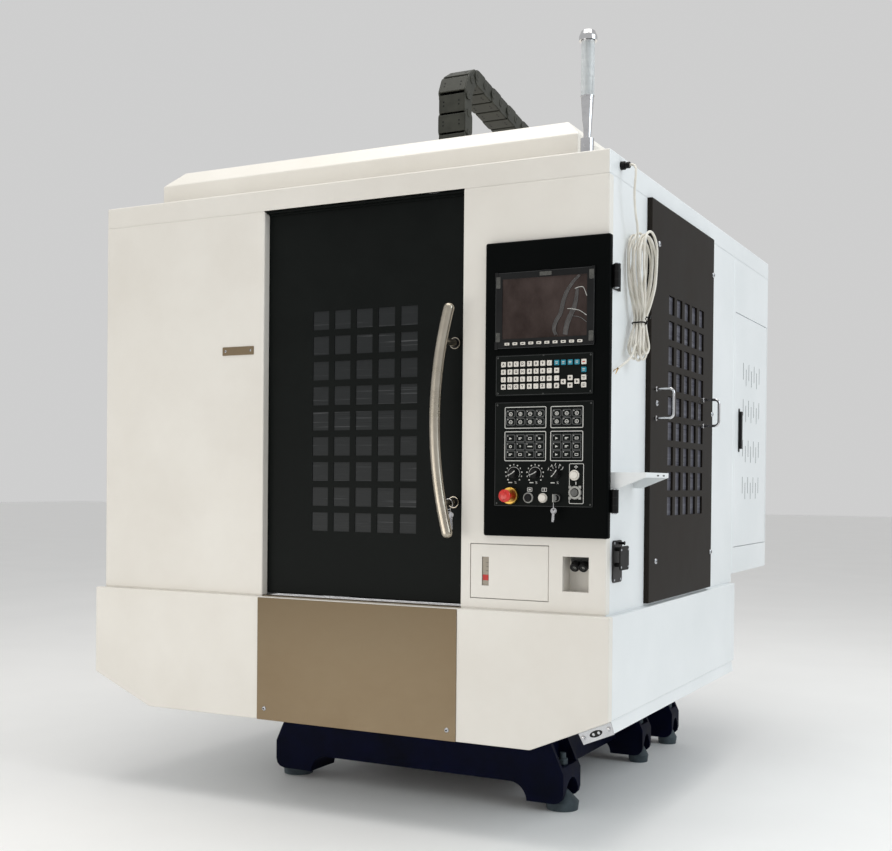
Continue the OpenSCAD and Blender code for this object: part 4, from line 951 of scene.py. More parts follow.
# keypad: plate, keys and their figures
key_x = [596, 616, 635, 655, 676, 696, 716, 736, 758, 778, 798, 818, 838]
key_z = [1339.5, 1318, 1296.6, 1276]
bm = bmesh.new()
prism(bm, rrect(570, 865, 1250, 1366, 3), "y", -23, -20, 0.6)
box(bm, (580, -20, 1260), (856, 20, 1356), 2)
# lighter outline round the keypad plate: painted edge highlight
outline(bm, 572.5, 862.5, 1252.5, 1363.5, 3, 1.0, "y", -23.25, -22.9, 1)
for x, z in ((578, 1258), (578, 1358), (857, 1258), (857, 1358), (717, 1254.5), (717, 1361.5)):
    screw(bm, (x, -23, z), (0, -1, 0), 2.4, 1.2, 2, 0)
make(bm, "keypad_plate", ["panel", "edge", "screw_dark"], "control_panel", rep="keypad")
rows = ["ABCD789/", "EFGH456*=", "IJKL123+-", "MNXY0.Z;#"]
bm = bmesh.new()
marks = []
for r in range(4):
    for c in range(13):
        if not (r == 0 or c < 9 or c == 12):
            continue
        teal = (r == 0 and 8 <= c <= 11) or (r == 1 and c == 12)
        x, z = key_x[c], key_z[r]
        box(bm, (x - 7.3, -26.4, z - 7.2), (x + 7.3, -22.8, z + 7.2), 1.4, 1 if teal else 0, 3)
        if r == 0 and c == 12:
            box(bm, (x - 4, -26.85, z - 1.4), (x + 4, -26.4, z + 1.4), 0, 3)
        elif teal or c == 12:
            box(bm, (x - 4, -26.85, z + 1), (x + 4, -26.4, z + 2.6), 0, 0 if teal else 2)
            box(bm, (x - 3, -26.85, z - 3), (x + 3, -26.4, z - 1.6), 0, 0 if teal else 2)
        elif c < len(rows[r]):
            marks.append((rows[r][c], x, z, 7.2))
for c, r, dz, tri in ((10, 2, 0, 90), (10, 3, 0, 270), (9, 2, -10.5, 180), (11, 2, -10.5, 0)):
    x, z = key_x[c], key_z[r] + dz
    box(bm, (x - 7.3, -26.4, z - 7.0), (x + 7.3, -22.8, z + 7.0), 1.4, 0, 3)
    prism(bm, [(x + 4.2 * math.cos(math.radians(tri + k)), z + 4.2 * math.sin(math.radians(tri + k))) for k in (0, 120, 240)], "y", -26.85, -26.4, 0, 2)
glyphs(bm, marks, -26.4, 2, bold=0.35)
make(bm, "keypad_keys", ["key", "teal", "ink", "red_ink"], "control_panel")

# lower plate: printed frames, membrane keys and dial marks
pf = -22.0
bm = bmesh.new()
fields = [(601, 726, 1159, 1218, 4, 2), (741, 836, 1159, 1218, 3, 2), (601, 726, 1067, 1149, 4, 3), (741, 836, 1067, 1149, 3, 3)]
# lighter outline round the lower plate: painted edge highlight
outline(bm, 570.4, 865.6, 939.4, 1231.6, 2, 0.9, "y", pf - 0.25, pf + 0.1, 2)
for x0, x1, z0, z1, nc, nr in fields:
    outline(bm, x0 - 1, x1 + 1, z0 - 1, z1 + 1, 4, 2.0, "y", pf - 0.4, pf + 0.1, 0)
outline(bm, 797, 840, 948, 1059.5, 4, 1.5, "y", pf - 0.4, pf + 0.1, 0)
icons, n = [], 0
for x0, x1, z0, z1, nc, nr in fields:
    w, h = (x1 - x0 - 6) / nc, (z1 - z0 - 14) / nr
    for j in range(nr - 1, -1, -1):
        for i in range(nc):
            x, z = x0 + 3 + (i + 0.5) * w, z0 + 7 + (j + 0.5) * h
            outline(bm, x0 + 4.4 + i * w, x0 + 1.6 + (i + 1) * w, z0 + 8.2 + j * h, z0 + 5.8 + (j + 1) * h, 5 if nr == 2 else 2.5, 1.5, "y", pf - 1.2, pf - 0.9, 1)
            y0, y1 = pf - 1.35, pf - 0.9
            disc(bm, x - 8.6, z + 6.2, 1.3, y0, y1, n=8)
            kind = (n * 7 + 3 * j + i) % 6
            z -= 1.0
            if nr == 2:
                washer(bm, x, z, 4.0, 5.6, y0, y1)
                if kind % 3 == 0:
                    prism(bm, [(x - 1.8, z - 2.2), (x + 2.6, z), (x - 1.8, z + 2.2)], "y", y0, y1)
                elif kind % 3 == 1:
                    box(bm, (x - 6.5, y0, z - 0.9), (x + 6.5, y1, z + 0.9))
                else:
                    box(bm, (x - 0.9, y0, z - 5.5), (x + 0.9, y1, z + 5.5))
                    box(bm, (x - 2.4, y0, z - 0.9), (x + 2.4, y1, z + 0.9))
            elif kind == 0:
                outline(bm, x - 5.2, x + 5.2, z - 3.4, z + 3.4, 1, 1.5, "y", y0, y1)
            elif kind == 1:
                box(bm, (x - 7, y0, z - 1.5), (x + 7, y1, z + 1.5))
            elif kind == 2:
                prism(bm, [(x - 3.6, z - 3.4), (x + 4.4, z), (x - 3.6, z + 3.4)], "y", y0, y1)
            elif kind == 3:
                washer(bm, x, z, 2.4, 4.2, y0, y1)
            elif kind == 4:
                box(bm, (x - 5, y0, z + 0.6), (x + 5, y1, z + 2.8))
                box(bm, (x - 5, y0, z - 2.8), (x + 1, y1, z - 0.6))
            else:
                icons.append((str(n % 10), x, z, 8.0))
            n += 1
glyphs(bm, icons, pf - 1.1, 0)
for x in (629.5, 694.7):
    for i in range(11):
        a = math.radians(225 - 27 * i)
        if i % 2 == 0:
            disc(bm, x + 25 * math.cos(a), 1031 + 25 * math.sin(a), 2.1, pf - 0.4, pf + 0.1, n=10)
        else:
            box(bm, (x + 25 * math.cos(a) - 1.1, pf - 0.4, 1031 + 25 * math.sin(a) - 2), (x + 25 * math.cos(a) + 1.1, pf + 0.1, 1031 + 25 * math.sin(a) + 2))
    ring_a = [(x + 18.5 * math.cos(math.radians(d)), 1031 + 18.5 * math.sin(math.radians(d))) for d in range(-30, 211, 15)]
    ribbon(bm, ring_a, 1.3, "y", pf - 0.35, 0.4)
for i, a in enumerate((150, 122, 94, 66, 38)):
    a = math.radians(a)
    x, z = 758.5 + 26 * math.cos(a), 1031 + 26 * math.sin(a)
    ribbon(bm, [(x - 2.4, z - 3), (x, z + 3), (x + 2.6, z - 1.4)][: 2 + i % 2], 1.5, "y", pf - 0.35, 0.4)
    ribbon(bm, [(758.5 + 17 * math.cos(a), 1031 + 17 * math.sin(a)), (758.5 + 20.5 * math.cos(a), 1031 + 20.5 * math.sin(a))], 1.4, "y", pf - 0.35, 0.4)
glyphs(bm, [("%", 635, 1005.5, 7), ("%", 699, 1005.5, 7), ("%", 763, 1005.5, 7)], pf - 0.2, 0)
for x in (619, 684, 748):
    box(bm, (x - 6, pf - 0.35, 1004.2), (x + 6, pf + 0.1, 1006.8))
for x in (679, 723):
    outline(bm, x - 7.5, x + 7.5, 980.5, 991.5, 1.5, 1.4, "y", pf - 0.35, pf + 0.1)
    box(bm, (x - 3.5, pf - 0.35, 984), (x + 3.5, pf + 0.1, 988)) if x < 700 else box(bm, (x - 1.2, pf - 0.35, 982.5), (x + 1.2, pf + 0.1, 989.5))
box(bm, (815.6, pf - 0.35, 1045), (818.4, pf + 0.1, 1055))
prism(bm, [(811.5, 1050), (817, 1045.5), (822.5, 1050), (817, 1054.5)], "y", pf - 0.35, pf + 0.1)
box(bm, (815.6, pf - 0.35, 1001), (818.4, pf + 0.1, 1009))
make(bm, "panel_print", ["print", "cell", "edge"], "control_panel")

# bright rings of the push buttons, brass collar of the stop button
def bezel(bm, x, z, r_in, r_out, h, mi=0):
    lathe(bm, (x, pf, z), (0, -1, 0), [(r_out, -0.3), (r_out, 0.6 * h), (r_out - 1.2, h), (r_in + 0.8, h), (r_in, h - 0.8), (r_in, 0.4)], 32, mi)

bm = bmesh.new()
bezel(bm, 675, 963, 11.6, 15.0, 4.4, 0)
bezel(bm, 761, 963, 10.7, 13.2, 4.2, 3)
bezel(bm, 719, 963, 10.7, 13.6, 4.4, 2)
bezel(bm, 813, 1027, 10.7, 15.0, 4.6, 2)
prism(bm, rrect(797.5, 832.5, 961.5, 996.5, 5), "y", pf - 2.4, pf + 0.2, 0.6, 3)
bezel(bm, 815, 979, 12.0, 18.4, 5.2, 0)
for k in range(24):
    a = 2 * math.pi * k / 24
    cyl(bm, (815 + 17.8 * math.cos(a), pf - 4.0, 979 + 17.8 * math.sin(a)), (0, 1, 0), 1.3, 3.6, 0.3, 8, 0)
for x, z in ((800.5, 994), (829.5, 994), (800.5, 964), (829.5, 964)):
    box(bm, (x - 4, pf - 3.6, z - 4), (x + 4, pf - 2, z + 4), 0.8, 0)
make(bm, "button_rings", ["gun", "chrome", "key", "plastic"], "control_panel")
bm = bmesh.new()
lathe(bm, (622, pf, 968), (0, -1, 0), [(23.4, -0.3), (23.4, 11.0), (24.0, 11.6), (24.0, 14.0), (22.6, 15.4), (17.0, 15.4), (15.8, 14.4), (15.8, 14.15), (9.2, 14.15)], 40)
for k in range(28):
    a = 2 * math.pi * k / 28
    cyl(bm, (622 + 23.2 * math.cos(a), pf - 10.6, 968 + 23.2 * math.sin(a)), (0, 1, 0), 1.2, 10, 0.3, 8)
make(bm, "stop_collar", "brass", "control_panel")
bm = bmesh.new()
for k in range(3):
    a0 = 2 * math.pi * k / 3 + 0.3
    arc = [(622 + 10.5 * math.cos(a0 + 0.22 * i), 968 + 10.5 * math.sin(a0 + 0.22 * i)) for i in range(6)]
    ribbon(bm, arc, 1.0, "y", pf - 53.4, 0.5)
make(bm, "stop_marks", "red_ink", "estop_button_body")
for body, x, turn in (("feed_knob_body", 629.5, 57), ("spindle_knob_body", 694.7, 63), ("mode_knob_body", 758.5, 38)):
    bm = bmesh.new()
    c, d = math.cos(math.radians(turn)), math.sin(math.radians(turn))
    line = [(x + d * q + c * w, 1031 + c * q - d * w) for q, w in ((-10.5, -0.4), (-4, 0.6), (3, 0.9), (11.6, 0))]
    ribbon(bm, line, 2.4, "y", pf - 20.3, 0.6, 0)
    for i in range(20):
        a = 2 * math.pi * i / 20
        cyl(bm, (x + 13.4 * math.cos(a), pf - 6.4, 1031 + 13.4 * math.sin(a)), (0, 1, 0), 1.1, 4.6, 0.3, 8, 1)
    make(bm, body.replace("_body", "_pointer"), ["print", "plastic"], body)

# screws of the control panel plates
bm = bmesh.new()
for x, z in ((577, 946), (859, 946), (577, 1225), (859, 1225)):
    screw(bm, (x, pf, z), (0, -1, 0), 2.6, 1.3, 0, 1)
make(bm, "panel_screws", ["screw_dark", "void"], "control_panel")


# ---------------------------------------------------------------- bunches of keys
def flat_key(bm, at, length, turn, tilt, mi=0):
    """Key that hangs from point at (mm): round head with a hole, blade with teeth."""
    c, s = math.cos(turn), math.sin(turn)
    head = [(8.5 * math.cos(2 * math.pi * k / 20), -7 + 8.5 * math.sin(2 * math.pi * k / 20)) for k in range(20)]
    hole = [(3.0 * math.cos(2 * math.pi * k / 20), -3.5 + 3.0 * math.sin(2 * math.pi * k / 20)) for k in range(20)]
    blade = [(-3.4, -14), (3.4, -14), (3.4, -20)]
    z = -20
    while z > -length + 4:
        blade += [(3.4, z - 1.5), (1.9, z - 3), (3.2, z - 4.5)]
        z -= 4.5
    blade += [(1.5, -length), (-2.4, -length), (-3.4, -length + 3)]
    t = bmesh.new()
    ring_flat(t, [(p[0], p[1]) for p in head], hole, "y", -1.0, 1.0)
    prism(t, blade, "y", -1.0, 1.0)
    o = P(0, 0, 0)
    m = Matrix.Translation(P(*at)) @ Matrix.Rotation(turn, 4, "Z") @ Matrix.Rotation(tilt, 4, "Y") @ Matrix.Translation(-o)
    bmesh.ops.transform(t, matrix=m, verts=t.verts[:])
    add(bm, t, mi)


def key_ring(bm, at, r, normal, wire=0.9, mi=0):
    u, v, z = frame_of(normal)
    tube(bm, [P(*at) + (u * math.cos(2 * math.pi * k / 28) + v * math.sin(2 * math.pi * k / 28)) * r / 1000 for k in range(28)], wire, 8, mi, close=True)


bm = bmesh.new()
key_ring(bm, (418, -14, 941), 15.5, (0.15, 1, 0))
key_ring(bm, (426, -14, 924), 9, (1, 0.5, 0.1), 0.8)
flat_key(bm, (423, -17, 918), 46, 0.5, 0.10)
flat_key(bm, (427, -12, 917), 50, -0.3, -0.06)
make(bm, "door_keys", "chrome", "door")
bm = bmesh.new()
for z in (946, 1414):
    lathe(bm, (414, 27, z), (0, -1, 0), [(15.0, -0.4), (15.0, 0.5), (9.9, 0.5), (9.9, 1.6), (9.4, 2.0)], 40)
make(bm, "handle_rosettes", "plastic", "door")
bm = bmesh.new()
key_ring(bm, (761, -46.5, 943), 9.5, (1, 0.35, 0), 0.8)
flat_key(bm, (762, -46.5, 935), 38, 0.4, 0.08)
flat_key(bm, (760, -45, 934), 34, -0.5, -0.05)
lathe(bm, (761, pf, 963), (0, -1, 0), [(0, 5.2), (3, 5.2), (9.2, 5.0), (9.8, 4.0)], 24, 1)
make(bm, "switch_keys", ["chrome", "plastic"], "key_switch_body")

# ---------------------------------------------------------------- right panel: pump door, pocket
bm = bmesh.new()
prism(bm, rrect(518, 548, 704, 795, 3), "y", 3.2, 6.4, 0.5, 0)
box(bm, (524, 2.0, 723), (542, 3.4, 739), 0.5, 1)
for z in (750, 762, 774):
    box(bm, (535, 2.8, z), (542, 3.4, z + 1.2), 0, 2)
make(bm, "level_window", ["gauge", "red_ink", "ink"], "pump_door")
bm = bmesh.new()
ax = Vector((0, -math.cos(math.radians(35)), -math.sin(math.radians(35))))
for x in (800.4, 825.6):
    o = (x, 36 + 26 * ax.y, 782 + 26 * ax.z)
    lathe(bm, o, ax, [(12.6, -20), (13.3, -19), (13.3, -12), (12.7, -11), (12.7, -9), (13.3, -8), (13.3, -2), (12.0, 0.6), (7.4, 0.6), (6.2, -1), (6.2, -12), (0, -12)], 28, 0)
    lathe(bm, o, ax, [(4.4, -12.2), (4.4, -4), (3.6, -3), (2.2, -3), (2.2, -10), (0, -10)], 20, 1)
    for k in range(14):
        a = 2 * math.pi * k / 14
        u, v, w = frame_of(ax)
        q = Vector(o) + (u * math.cos(a) + v * math.sin(a)) * 13.0 - ax * 7.6
        cyl(bm, tuple(q), ax, 0.9, 5.2, 0.2, 6, 0)
for x in (789, 837):
    q = Vector((x, 36, 782)) + ax * 2
    lathe(bm, tuple(q), ax, [(3.4, -0.3), (3.4, 1.2), (2.4, 2.2), (1.6, 2.2), (1.6, 1.0), (0, 1.0)], 14, 1)
make(bm, "coupling_sleeves", ["plastic", "gun"])

# pendant holder
bm = bmesh.new()
prism(bm, rrect(44, 121, 728, 846, 10), "x", 900.2, 904, 0.8, 0)
prism(bm, rrect(36, 110, 764, 831, 9), "x", 924, 928, 0.8, 1)
for z in (775, 825):
    lathe(bm, (904, 66, z - 3 if z > 800 else z + 3), (1, 0, 0), [(6, -0.5), (6, 20.5)], 24, 1)
lathe(bm, (904, 92, 838), (1, 0, 0), [(4, -0.5), (4, 15), (5.5, 15.4), (5.5, 17.4), (4.5, 18), (0, 18)], 20, 1)
outline(bm, 50, 115, 734, 840, 7, 1.0, "x", 903.8, 904.2, 1)
make(bm, "pendant_holder", ["bracket", "plastic"], rep="pendant_bracket")

# stub under the front corner of the cabinet
bm = bmesh.new()
lathe(bm, (883, 1398, 669), (0, 0, -1), [(13, -0.5), (13, 9), (11.5, 10.5)], 6, 0)
lathe(bm, (883, 1398, 669), (0, 0, -1), [(7, 9), (7, 24), (8, 25), (8, 27.5), (0, 28)], 22, 0)
make(bm, "cabinet_stub", "zinc")

# ---------------------------------------------------------------- screws on the outside
bm = bmesh.new()
for y, z in ((398, 1730), (1021, 1732), (389, 1249), (393, 771), (1021, 1249), (1021, 771)):
    screw(bm, (916, y, z), (1, 0, 0), 9.0, 5.2, 0, 1)
make(bm, "side_panel_screws", ["steel", "void"])
bm = bmesh.new()
for x, z in ((-219, 288), (426, 284)):
    screw(bm, (x, -27.2, z), (0, -1, 0), 7.0, 3.8, 0, 1)
for x in (-398, -300):
    screw(bm, (x, -2.1, 1419.5), (0, -1, 0), 3.6, 2.0, 0, 1)
for x, z in ((841, 298.5), (913, 329)):
    screw(bm, (x, -0.1, z), (0, -1, 0), 5.0, 2.8, 0, 1)
make(bm, "plate_screws", ["steel", "void"])
bm = bmesh.new()
for y, z in ((56, 838), (108, 838), (56, 736), (108, 736)):
    screw(bm, (904, y, z), (1, 0, 0), 3.6, 2.2, 0, 1)
for y, z in ((44, 773), (44, 821), (102, 773), (102, 821)):
    screw(bm, (928, y, z), (1, 0, 0), 3.2, 2.0, 0, 1)
for z0 in (956, 1574):
    for y in (30, 62):
        for dz in (-20, 20):
            screw(bm, (906, y, z0 + dz), (1, 0, 0), 4.0, 2.4, 0, 1)
for y in (40, 190):
    screw(bm, (902, y, 1008), (1, 0, 0), 4.0, 2.4, 0, 1)
make(bm, "bracket_screws", ["steel", "void"])
bm = bmesh.new()
for z0 in (956, 1574):
    for k in (-11, 11):
        lathe(bm, (921, 4, z0 + k - 0.8), (0, 0, 1), [(10.3, 0), (10.3, 1.6)], 28, 0)
    lathe(bm, (921, 4, z0 + 32), (0, 0, 1), [(7, -1), (7, 1.6), (5, 3), (0, 3)], 20, 1)
    lathe(bm, (921, 4, z0 - 32), (0, 0, -1), [(7, -1), (7, 1.6), (5, 3), (0, 3)], 20, 1)
make(bm, "hinge_pins", ["void", "steel"])
bm = bmesh.new()
for y in (118, 172):
    prism(bm, rrect(y - 9, y + 9, 1026, 1030, 1.8), "x", 1006.8, 1007.25)
make(bm, "shelf_slots", "void")

# ---------------------------------------------------------------- signal light
bm = bmesh.new()
lathe(bm, (809, 60, 2094), (0, 0, 1), [(0, 0), (5, 0), (5, 150), (0, 150)], 6, 0, phase=math.radians(33))
for f in range(6):
    a = math.radians(33 + 30 + 60 * f)
    nx2, ny2 = math.cos(a), math.sin(a)
    for k in range(19):
        cyl(bm, (809 + 4.2 * nx2, 60 + 4.2 * ny2, 2100 + 7.6 * k), (nx2, ny2, 0), 1.6, 1.3, 0.4, 8, 1)
make(bm, "signal_core", ["led", "gun"])
bm = bmesh.new()
for z in (2092, 2246):
    lathe(bm, (809, 60, z - 1.5), (0, 0, 1), [(18.5, 0), (20.2, 0.6), (20.2, 2.6), (18.5, 3.2)], 36, 0)
a = math.radians(-40)
lathe(bm, (809 + 18 * math.cos(a), 60 + 18 * math.sin(a), 2082), (math.cos(a), math.sin(a), 0), [(4, -2), (4, 1.6), (3, 2.6), (0, 2.6)], 18, 0)
for k in range(3):
    a = 2 * math.pi * k / 3 + 0.4
    cyl(bm, (809 + 19 * math.cos(a), 60 + 19 * math.sin(a), 1952), (math.cos(a), math.sin(a), 0), 2.6, 2.4, 0.4, 14, 0)
make(bm, "signal_rings", "chrome")

# ---------------------------------------------------------------- electrical cabinet: louvre lips, painted shadow strips in the slits, handle plate
# louvre lips in the bluer copy of the white: painted side light
bm = bmesh.new()
for y0, y1, z0, z1 in slits:
    t = bmesh.new()
    y = y1 + 0.4
    sec = [(0, -0.3), (2.4, 1.1), (5.4, 1.6), (8.6, 0.9), (10.6, -0.3)]
    lo = [t.verts.new(P(900 + h, y + d, z0 - 1)) for d, h in sec]
    hi = [t.verts.new(P(900 + h, y + d, z1 + 1)) for d, h in sec]
    for k in range(len(sec) - 1):
        t.faces.new((lo[k], lo[k + 1], hi[k + 1], hi[k]))
    t.faces.new(lo[::-1])
    t.faces.new(hi)
    bmesh.ops.recalc_face_normals(t, faces=t.faces[:])
    add(bm, t)
make(bm, "louvre_lips", "side_white", "electrics_door", smooth=50)
# dark strips under each slit, flush with the door face, so the slits read dark: painted shadow
bm = bmesh.new()
for y0, y1, z0, z1 in slits:
    prism(bm, rrect(y0 - 0.8, y1 + 0.8, z0 - 1.2, z1 + 1.2, 2.2), "x", 897.6, 900.15)
make(bm, "louvre_painted_shadow", "void", "electrics_door")
bm = bmesh.new()
prism(bm, rrect(1467, 1489, 1130, 1296, 7), "x", 899.6, 901.4, 0.5)
make(bm, "handle_plate", "plastic", "electrics_door")

# ---------------------------------------------------------------- left, rear and top
# left wall covers in the bluer copy of the white: painted side light
bm = bmesh.new()
for y0, y1, z0, z1 in ((140, 900, 700, 1790), (960, 1880, 700, 1240), (960, 1880, 1290, 1790)):
    t = bmesh.new()
    prism(t, rrect(y0, y1, z0, z1, 10), "x", -901.8, -899.6, 0.7)
    add(bm, t, 0)
    for k in range(4):
        y = y0 + 24 + (y1 - y0 - 48) * k / 3
        for z in (z0 + 22, z1 - 22):
            screw(bm, (-901.8, y, z), (-1, 0, 0), 6, 3.2, 1, 2)
make(bm, "left_covers", ["side_white", "steel", "void"])
bm = bmesh.new()
for y in (440, 600):
    for z in (1180, 1320):
        lathe(bm, (-901.8, y, z), (-1, 0, 0), [(9, -0.3), (9, 3), (7.6, 4.5), (4.6, 4.5), (4.6, 30)], 24)
    tube(bm, smooth_path([P(-928, y, 1180), P(-934.5, y, 1181), P(-938, y, 1190), P(-938, y, 1250), P(-938, y, 1310), P(-934.5, y, 1319), P(-928, y, 1320)], 6), 4.6, 14)
make(bm, "left_cover_handles", "chrome")
# rear covers in the bluer copy of the white: painted side light
bm = bmesh.new()
for x0, x1, z0, z1 in ((-800, -300, 720, 1780), (-240, 340, 720, 1240), (-240, 340, 1300, 1780)):
    t = bmesh.new()
    prism(t, rrect(x0, x1, z0, z1, 10), "y", 1953.6, 1955.8, 0.7)
    add(bm, t, 0)
    for k in range(3):
        x = x0 + 24 + (x1 - x0 - 48) * k / 2
        for z in (z0 + 22, z1 - 22):
            screw(bm, (x, 1955.8, z), (0, 1, 0), 6, 3.2, 1, 2)
for i in range(9):
    for x in (-120, 220):
        z = 1420 + i * 34
        t = bmesh.new()
        sec = [(0, 0), (3, 7), (9, 9), (17, 5), (22, 0)]
        lo = [t.verts.new(P(x - 105, 1955.6 + h, z + d)) for d, h in sec]
        hi = [t.verts.new(P(x + 105, 1955.6 + h, z + d)) for d, h in sec]
        for k in range(4):
            t.faces.new((lo[k], lo[k + 1], hi[k + 1], hi[k]))
        t.faces.new(lo[::-1])
        t.faces.new(hi)
        bmesh.ops.recalc_face_normals(t, faces=t.faces[:])
        add(bm, t, 0)
        box(bm, (x - 103, 1955.7, z - 2.5), (x + 103, 1956.4, z + 1.5), 0, 2)
make(bm, "rear_covers", ["side_white", "steel", "void"], smooth=50)
bm = bmesh.new()
prism(bm, rrect(480, 820, 760, 900, 8), "y", 1953.6, 1956.5, 0.6, 0)
for k in range(5):
    x = 520 + 65 * k
    lathe(bm, (x, 1956.5, 830), (0, 1, 0), [(19, -0.5), (19, 6), (17, 7), (17, 9), (15, 11)], 6, 1)
    lathe(bm, (x, 1956.5, 830), (0, 1, 0), [(13, 9), (13, 17), (9, 20), (5, 20), (5, 14), (0, 14)], 22, 1)
for x, z in ((494, 774), (806, 774), (494, 886), (806, 886)):
    screw(bm, (x, 1956.5, z), (0, 1, 0), 5, 2.8, 2, 1)
make(bm, "cable_entry", ["zinc", "plastic", "steel"])
bm = bmesh.new()
outline(bm, 505, 795, 1300, 1590, 14, 16, "y", 1953.5, 1960, 0)
for i in range(10):
    box(bm, (519, 1954.5, 1322 + 27 * i), (781, 1958.5, 1330 + 27 * i), 1.2, 0)
for i in range(9):
    box(bm, (544 + 27 * i, 1954, 1316), (548 + 27 * i, 1957.5, 1574), 0.8, 0)
prism(bm, rrect(512, 788, 1307, 1583, 8), "y", 1953.4, 1954.3, 0, 1)
make(bm, "fan_filter", ["plastic", "void"])
bm = bmesh.new()
for x in (-640, -220, 220, 640):
    for y in (230, 1370):
        screw(bm, (x, y, 2064.8), (0, 0, 1), 6.5, 3.6, 0, 1)
for y in (60, 500, 980, 1460, 1900):
    for x in (-868, 868):
        screw(bm, (x, y, 1923.8), (0, 0, 1), 6.0, 3.2, 0, 1)
for x in (-868, 868):
    for y in (300, 1700):
        lathe(bm, (x * 0.955, y, 1923.8), (0, 0, 1), [(22, -0.3), (22, 4), (19, 6), (8, 6)], 30, 0)
make(bm, "roof_screws", ["steel", "void"])
bm = bmesh.new()
for x0, x1, y0, y1 in ((-97, 87, 763, 770.5), (-97, 87, 959.5, 967), (-97, -89.5, 770, 960), (79.5, 87, 770, 960)):
    box(bm, (x0, y0, 2059), (x1, y1, 2068), 1.5)
make(bm, "chain_slot_trim", "plastic")

# ---------------------------------------------------------------- work area and gear
bm = bmesh.new()
for z in (960, 1060, 1160, 1260, 1360, 1460, 1560, 1660, 1760):
    for s in (-1, 1):
        lathe(bm, (104 + s * 150, 1104, z), (0, -1, 0), [(6.5, -0.2), (6.5, 0.3), (4, 0.3), (4, -0.1), (0, -0.1)], 16, 0)
for y in (420, 480, 900, 960, 1020, 1080):
    for s in (-1, 1):
        lathe(bm, (104 + s * 190, y, 526), (0, 0, 1), [(6.5, -0.2), (6.5, 0.3), (4, 0.3), (4, -0.1), (0, -0.1)], 16, 0)
make(bm, "rail_bolts", "void")
bm = bmesh.new()
for k in range(8):
    a = 2 * math.pi * k / 8 + 0.2
    x, y = 104 + 68 * math.cos(a), 665 + 68 * math.sin(a)
    lathe(bm, (x, y, 1330), (0, 0, -1), [(7, -0.5), (7, 7), (6, 8), (3.6, 8), (3.6, 4), (0, 4)], 18, 0)
for a0 in (0.9, 2.3, 4.0, 5.4):
    x, y = 104 + 78 * math.cos(a0), 665 + 78 * math.sin(a0)
    tube(bm, smooth_path([P(x, y, 1336), P(x, y, 1316), P(104 + 66 * math.cos(a0), 665 + 66 * math.sin(a0), 1296), P(104 + 52 * math.cos(a0), 665 + 52 * math.sin(a0), 1280)], 5), 4, 12, 1)
make(bm, "nose_ring", ["steel", "brass"], "head_unit")
# head covers in the bluer copy of the white: painted side light
bm = bmesh.new()
for s in (-1, 1):
    x = 104 + s * 120.4
    for z in (1480, 1720):
        for y in (640, 940):
            lathe(bm, (x, y, z), (s, 0, 0), [(9, -0.4), (9, 6), (7.5, 7), (4.4, 7), (4.4, 3), (0, 3)], 20, 0)
    prism(bm, rrect(700, 900, 1520, 1680, 10), "x", x - (0.4 if s > 0 else -0.4), x + 3 * s, 0.8, 1)
make(bm, "head_covers", ["steel", "side_white"], "head_unit")
bm = bmesh.new()
for k in range(9):
    z = 1812 + 18 * k
    for s in (-1, 1):
        box(bm, (104 + s * 84, 602, z) if s > 0 else (104 - 90, 602, z), (104 + 90, 748, z + 8) if s > 0 else (104 - 84, 748, z + 8), 1.2, 0)
lathe(bm, (104, 675, 2035), (0, 0, 1), [(73, -1), (73, 2), (70, 4), (58, 4), (58, 2), (20, 2), (20, 4), (0, 4)], 40, 0)
make(bm, "motor_fins", "motor", "head_unit")
bm = bmesh.new()
for k in range(12):
    if k in (0, 3, 7, 10):
        continue
    a = 2 * math.pi * k / 12
    x, y = -340 + 200 * math.cos(a), 700 + 200 * math.sin(a)
    lathe(bm, (x, y, 1490), (0, 0, 1), [(0, -64), (6, -64), (6.5, -62), (6.5, -20), (16, -16), (16, -2), (22, 0), (23.4, 4), (23.4, 8), (20, 11), (20, 15), (23.4, 18), (23.4, 21), (16, 24), (13, 54), (6, 57), (6, 64), (0, 65)], 22, 0)
make(bm, "tool_holders", "steel", "carousel")
bm = bmesh.new()
for k in range(4):
    y0 = 1430 + k * 122
    for i in range(9):
        box(bm, (590, y0 + 12 + i * 9, 1560), (592.5, y0 + 16 + i * 9, 1590), 0.4, 0)
    box(bm, (589.6, y0 + 14, 1460), (592, y0 + 86, 1530), 1.5, 0)
    # small drive displays in the screen material, whose brown tone is painted reflection
    box(bm, (591.5, y0 + 22, 1480), (592.6, y0 + 52, 1512), 0.5, 1)
    for i in range(5):
        cyl(bm, (589.8, y0 + 22 + i * 14, 1446), (1, 0, 0), 4, 2.6, 0.5, 14, 2)
    for i in range(3):
        box(bm, (589.8, y0 + 16 + i * 26, 1276), (602, y0 + 36 + i * 26, 1306), 1.2, 3)
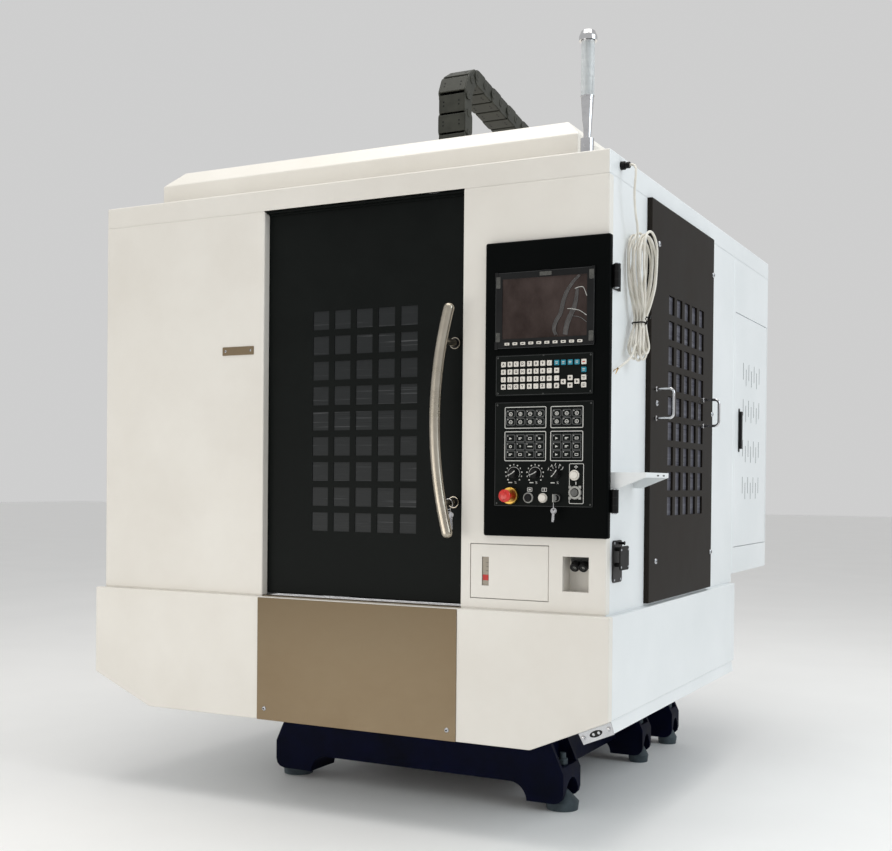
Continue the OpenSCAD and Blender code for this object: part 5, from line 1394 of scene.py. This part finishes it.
for k in range(8):
    y0 = 1430 + k * 58
    box(bm, (489.8, y0 + 6, 1084), (496, y0 + 46, 1136), 1.5, 0)
    box(bm, (495, y0 + 18, 1100), (504, y0 + 34, 1122), 2.0, 1)
    for z in (1066, 1146):
        for i in range(3):
            cyl(bm, (489.8, y0 + 12 + 14 * i, z + 4), (1, 0, 0), 4, 2, 0.4, 12, 2)
for z in (1010, 1200, 1640):
    for i in range(34):
        box(bm, (459.8, 1416 + 15 * i, z + 4), (460.8, 1422 + 15 * i, z + 36), 0, 4)
for k in range(26):
    y0 = 1436 + k * 18.2
    yt = y0 + 4 * math.sin(k * 1.7)
    tube(bm, smooth_path([P(492, y0, 1064), P(506, yt, 1050), P(490, yt, 1036), P(464, y0, 1030)], 5), 2.2, 8, 5 if k % 3 else 6)
    tube(bm, smooth_path([P(592, y0, 1276), P(604, yt, 1256), P(560, yt, 1236), P(462, y0, 1222)], 6), 2.4, 8, 6 if k % 4 else 5)
make(bm, "switchgear_detail", ["plastic", "screen", "steel", "lamp_green", "void", "hose", "wire_blue"])
bm = bmesh.new()
lathe(bm, (665, 106, 806), (0, 0, 1), [(27, -1), (27, 8), (24, 11), (9, 12), (9, 16), (0, 16)], 28, 0)
for k in range(16):
    a = 2 * math.pi * k / 16
    cyl(bm, (665 + 27 * math.cos(a), 106 + 27 * math.sin(a), 806), (0, 0, 1), 1.6, 8, 0.4, 8, 0)
tube(bm, smooth_path([P(570, 105, 830), P(570, 105, 850), P(590, 115, 870), P(640, 140, 880), P(690, 150, 900), P(700, 152, 980)], 6), 5, 12, 1)
make(bm, "pump_cap", ["plastic", "hose"])
bm = bmesh.new()
for x0 in (-390, 610):
    for f0, f1 in ((350, 500), (1136, 1238), (1506, 1600)):
        yc = (f0 + f1) / 2
        lathe(bm, (x0, yc, 131.6), (0, 0, 1), [(16, -0.4), (16, 2.2), (14.5, 3.4), (10.4, 3.4)], 24, 0)
        for z in (37.5, 40.5, 43.5, 46.5, 62.5, 65.5, 68.5, 135.6, 138.6, 141.6, 144.6, 147.6):
            lathe(bm, (x0, yc, z), (0, 0, 1), [(9.6, 0), (10.5, 1.2), (9.6, 2.6)], 18, 0)
make(bm, "bolt_nuts", "pad")

print("cable length", cable_len, "points", len(flat))
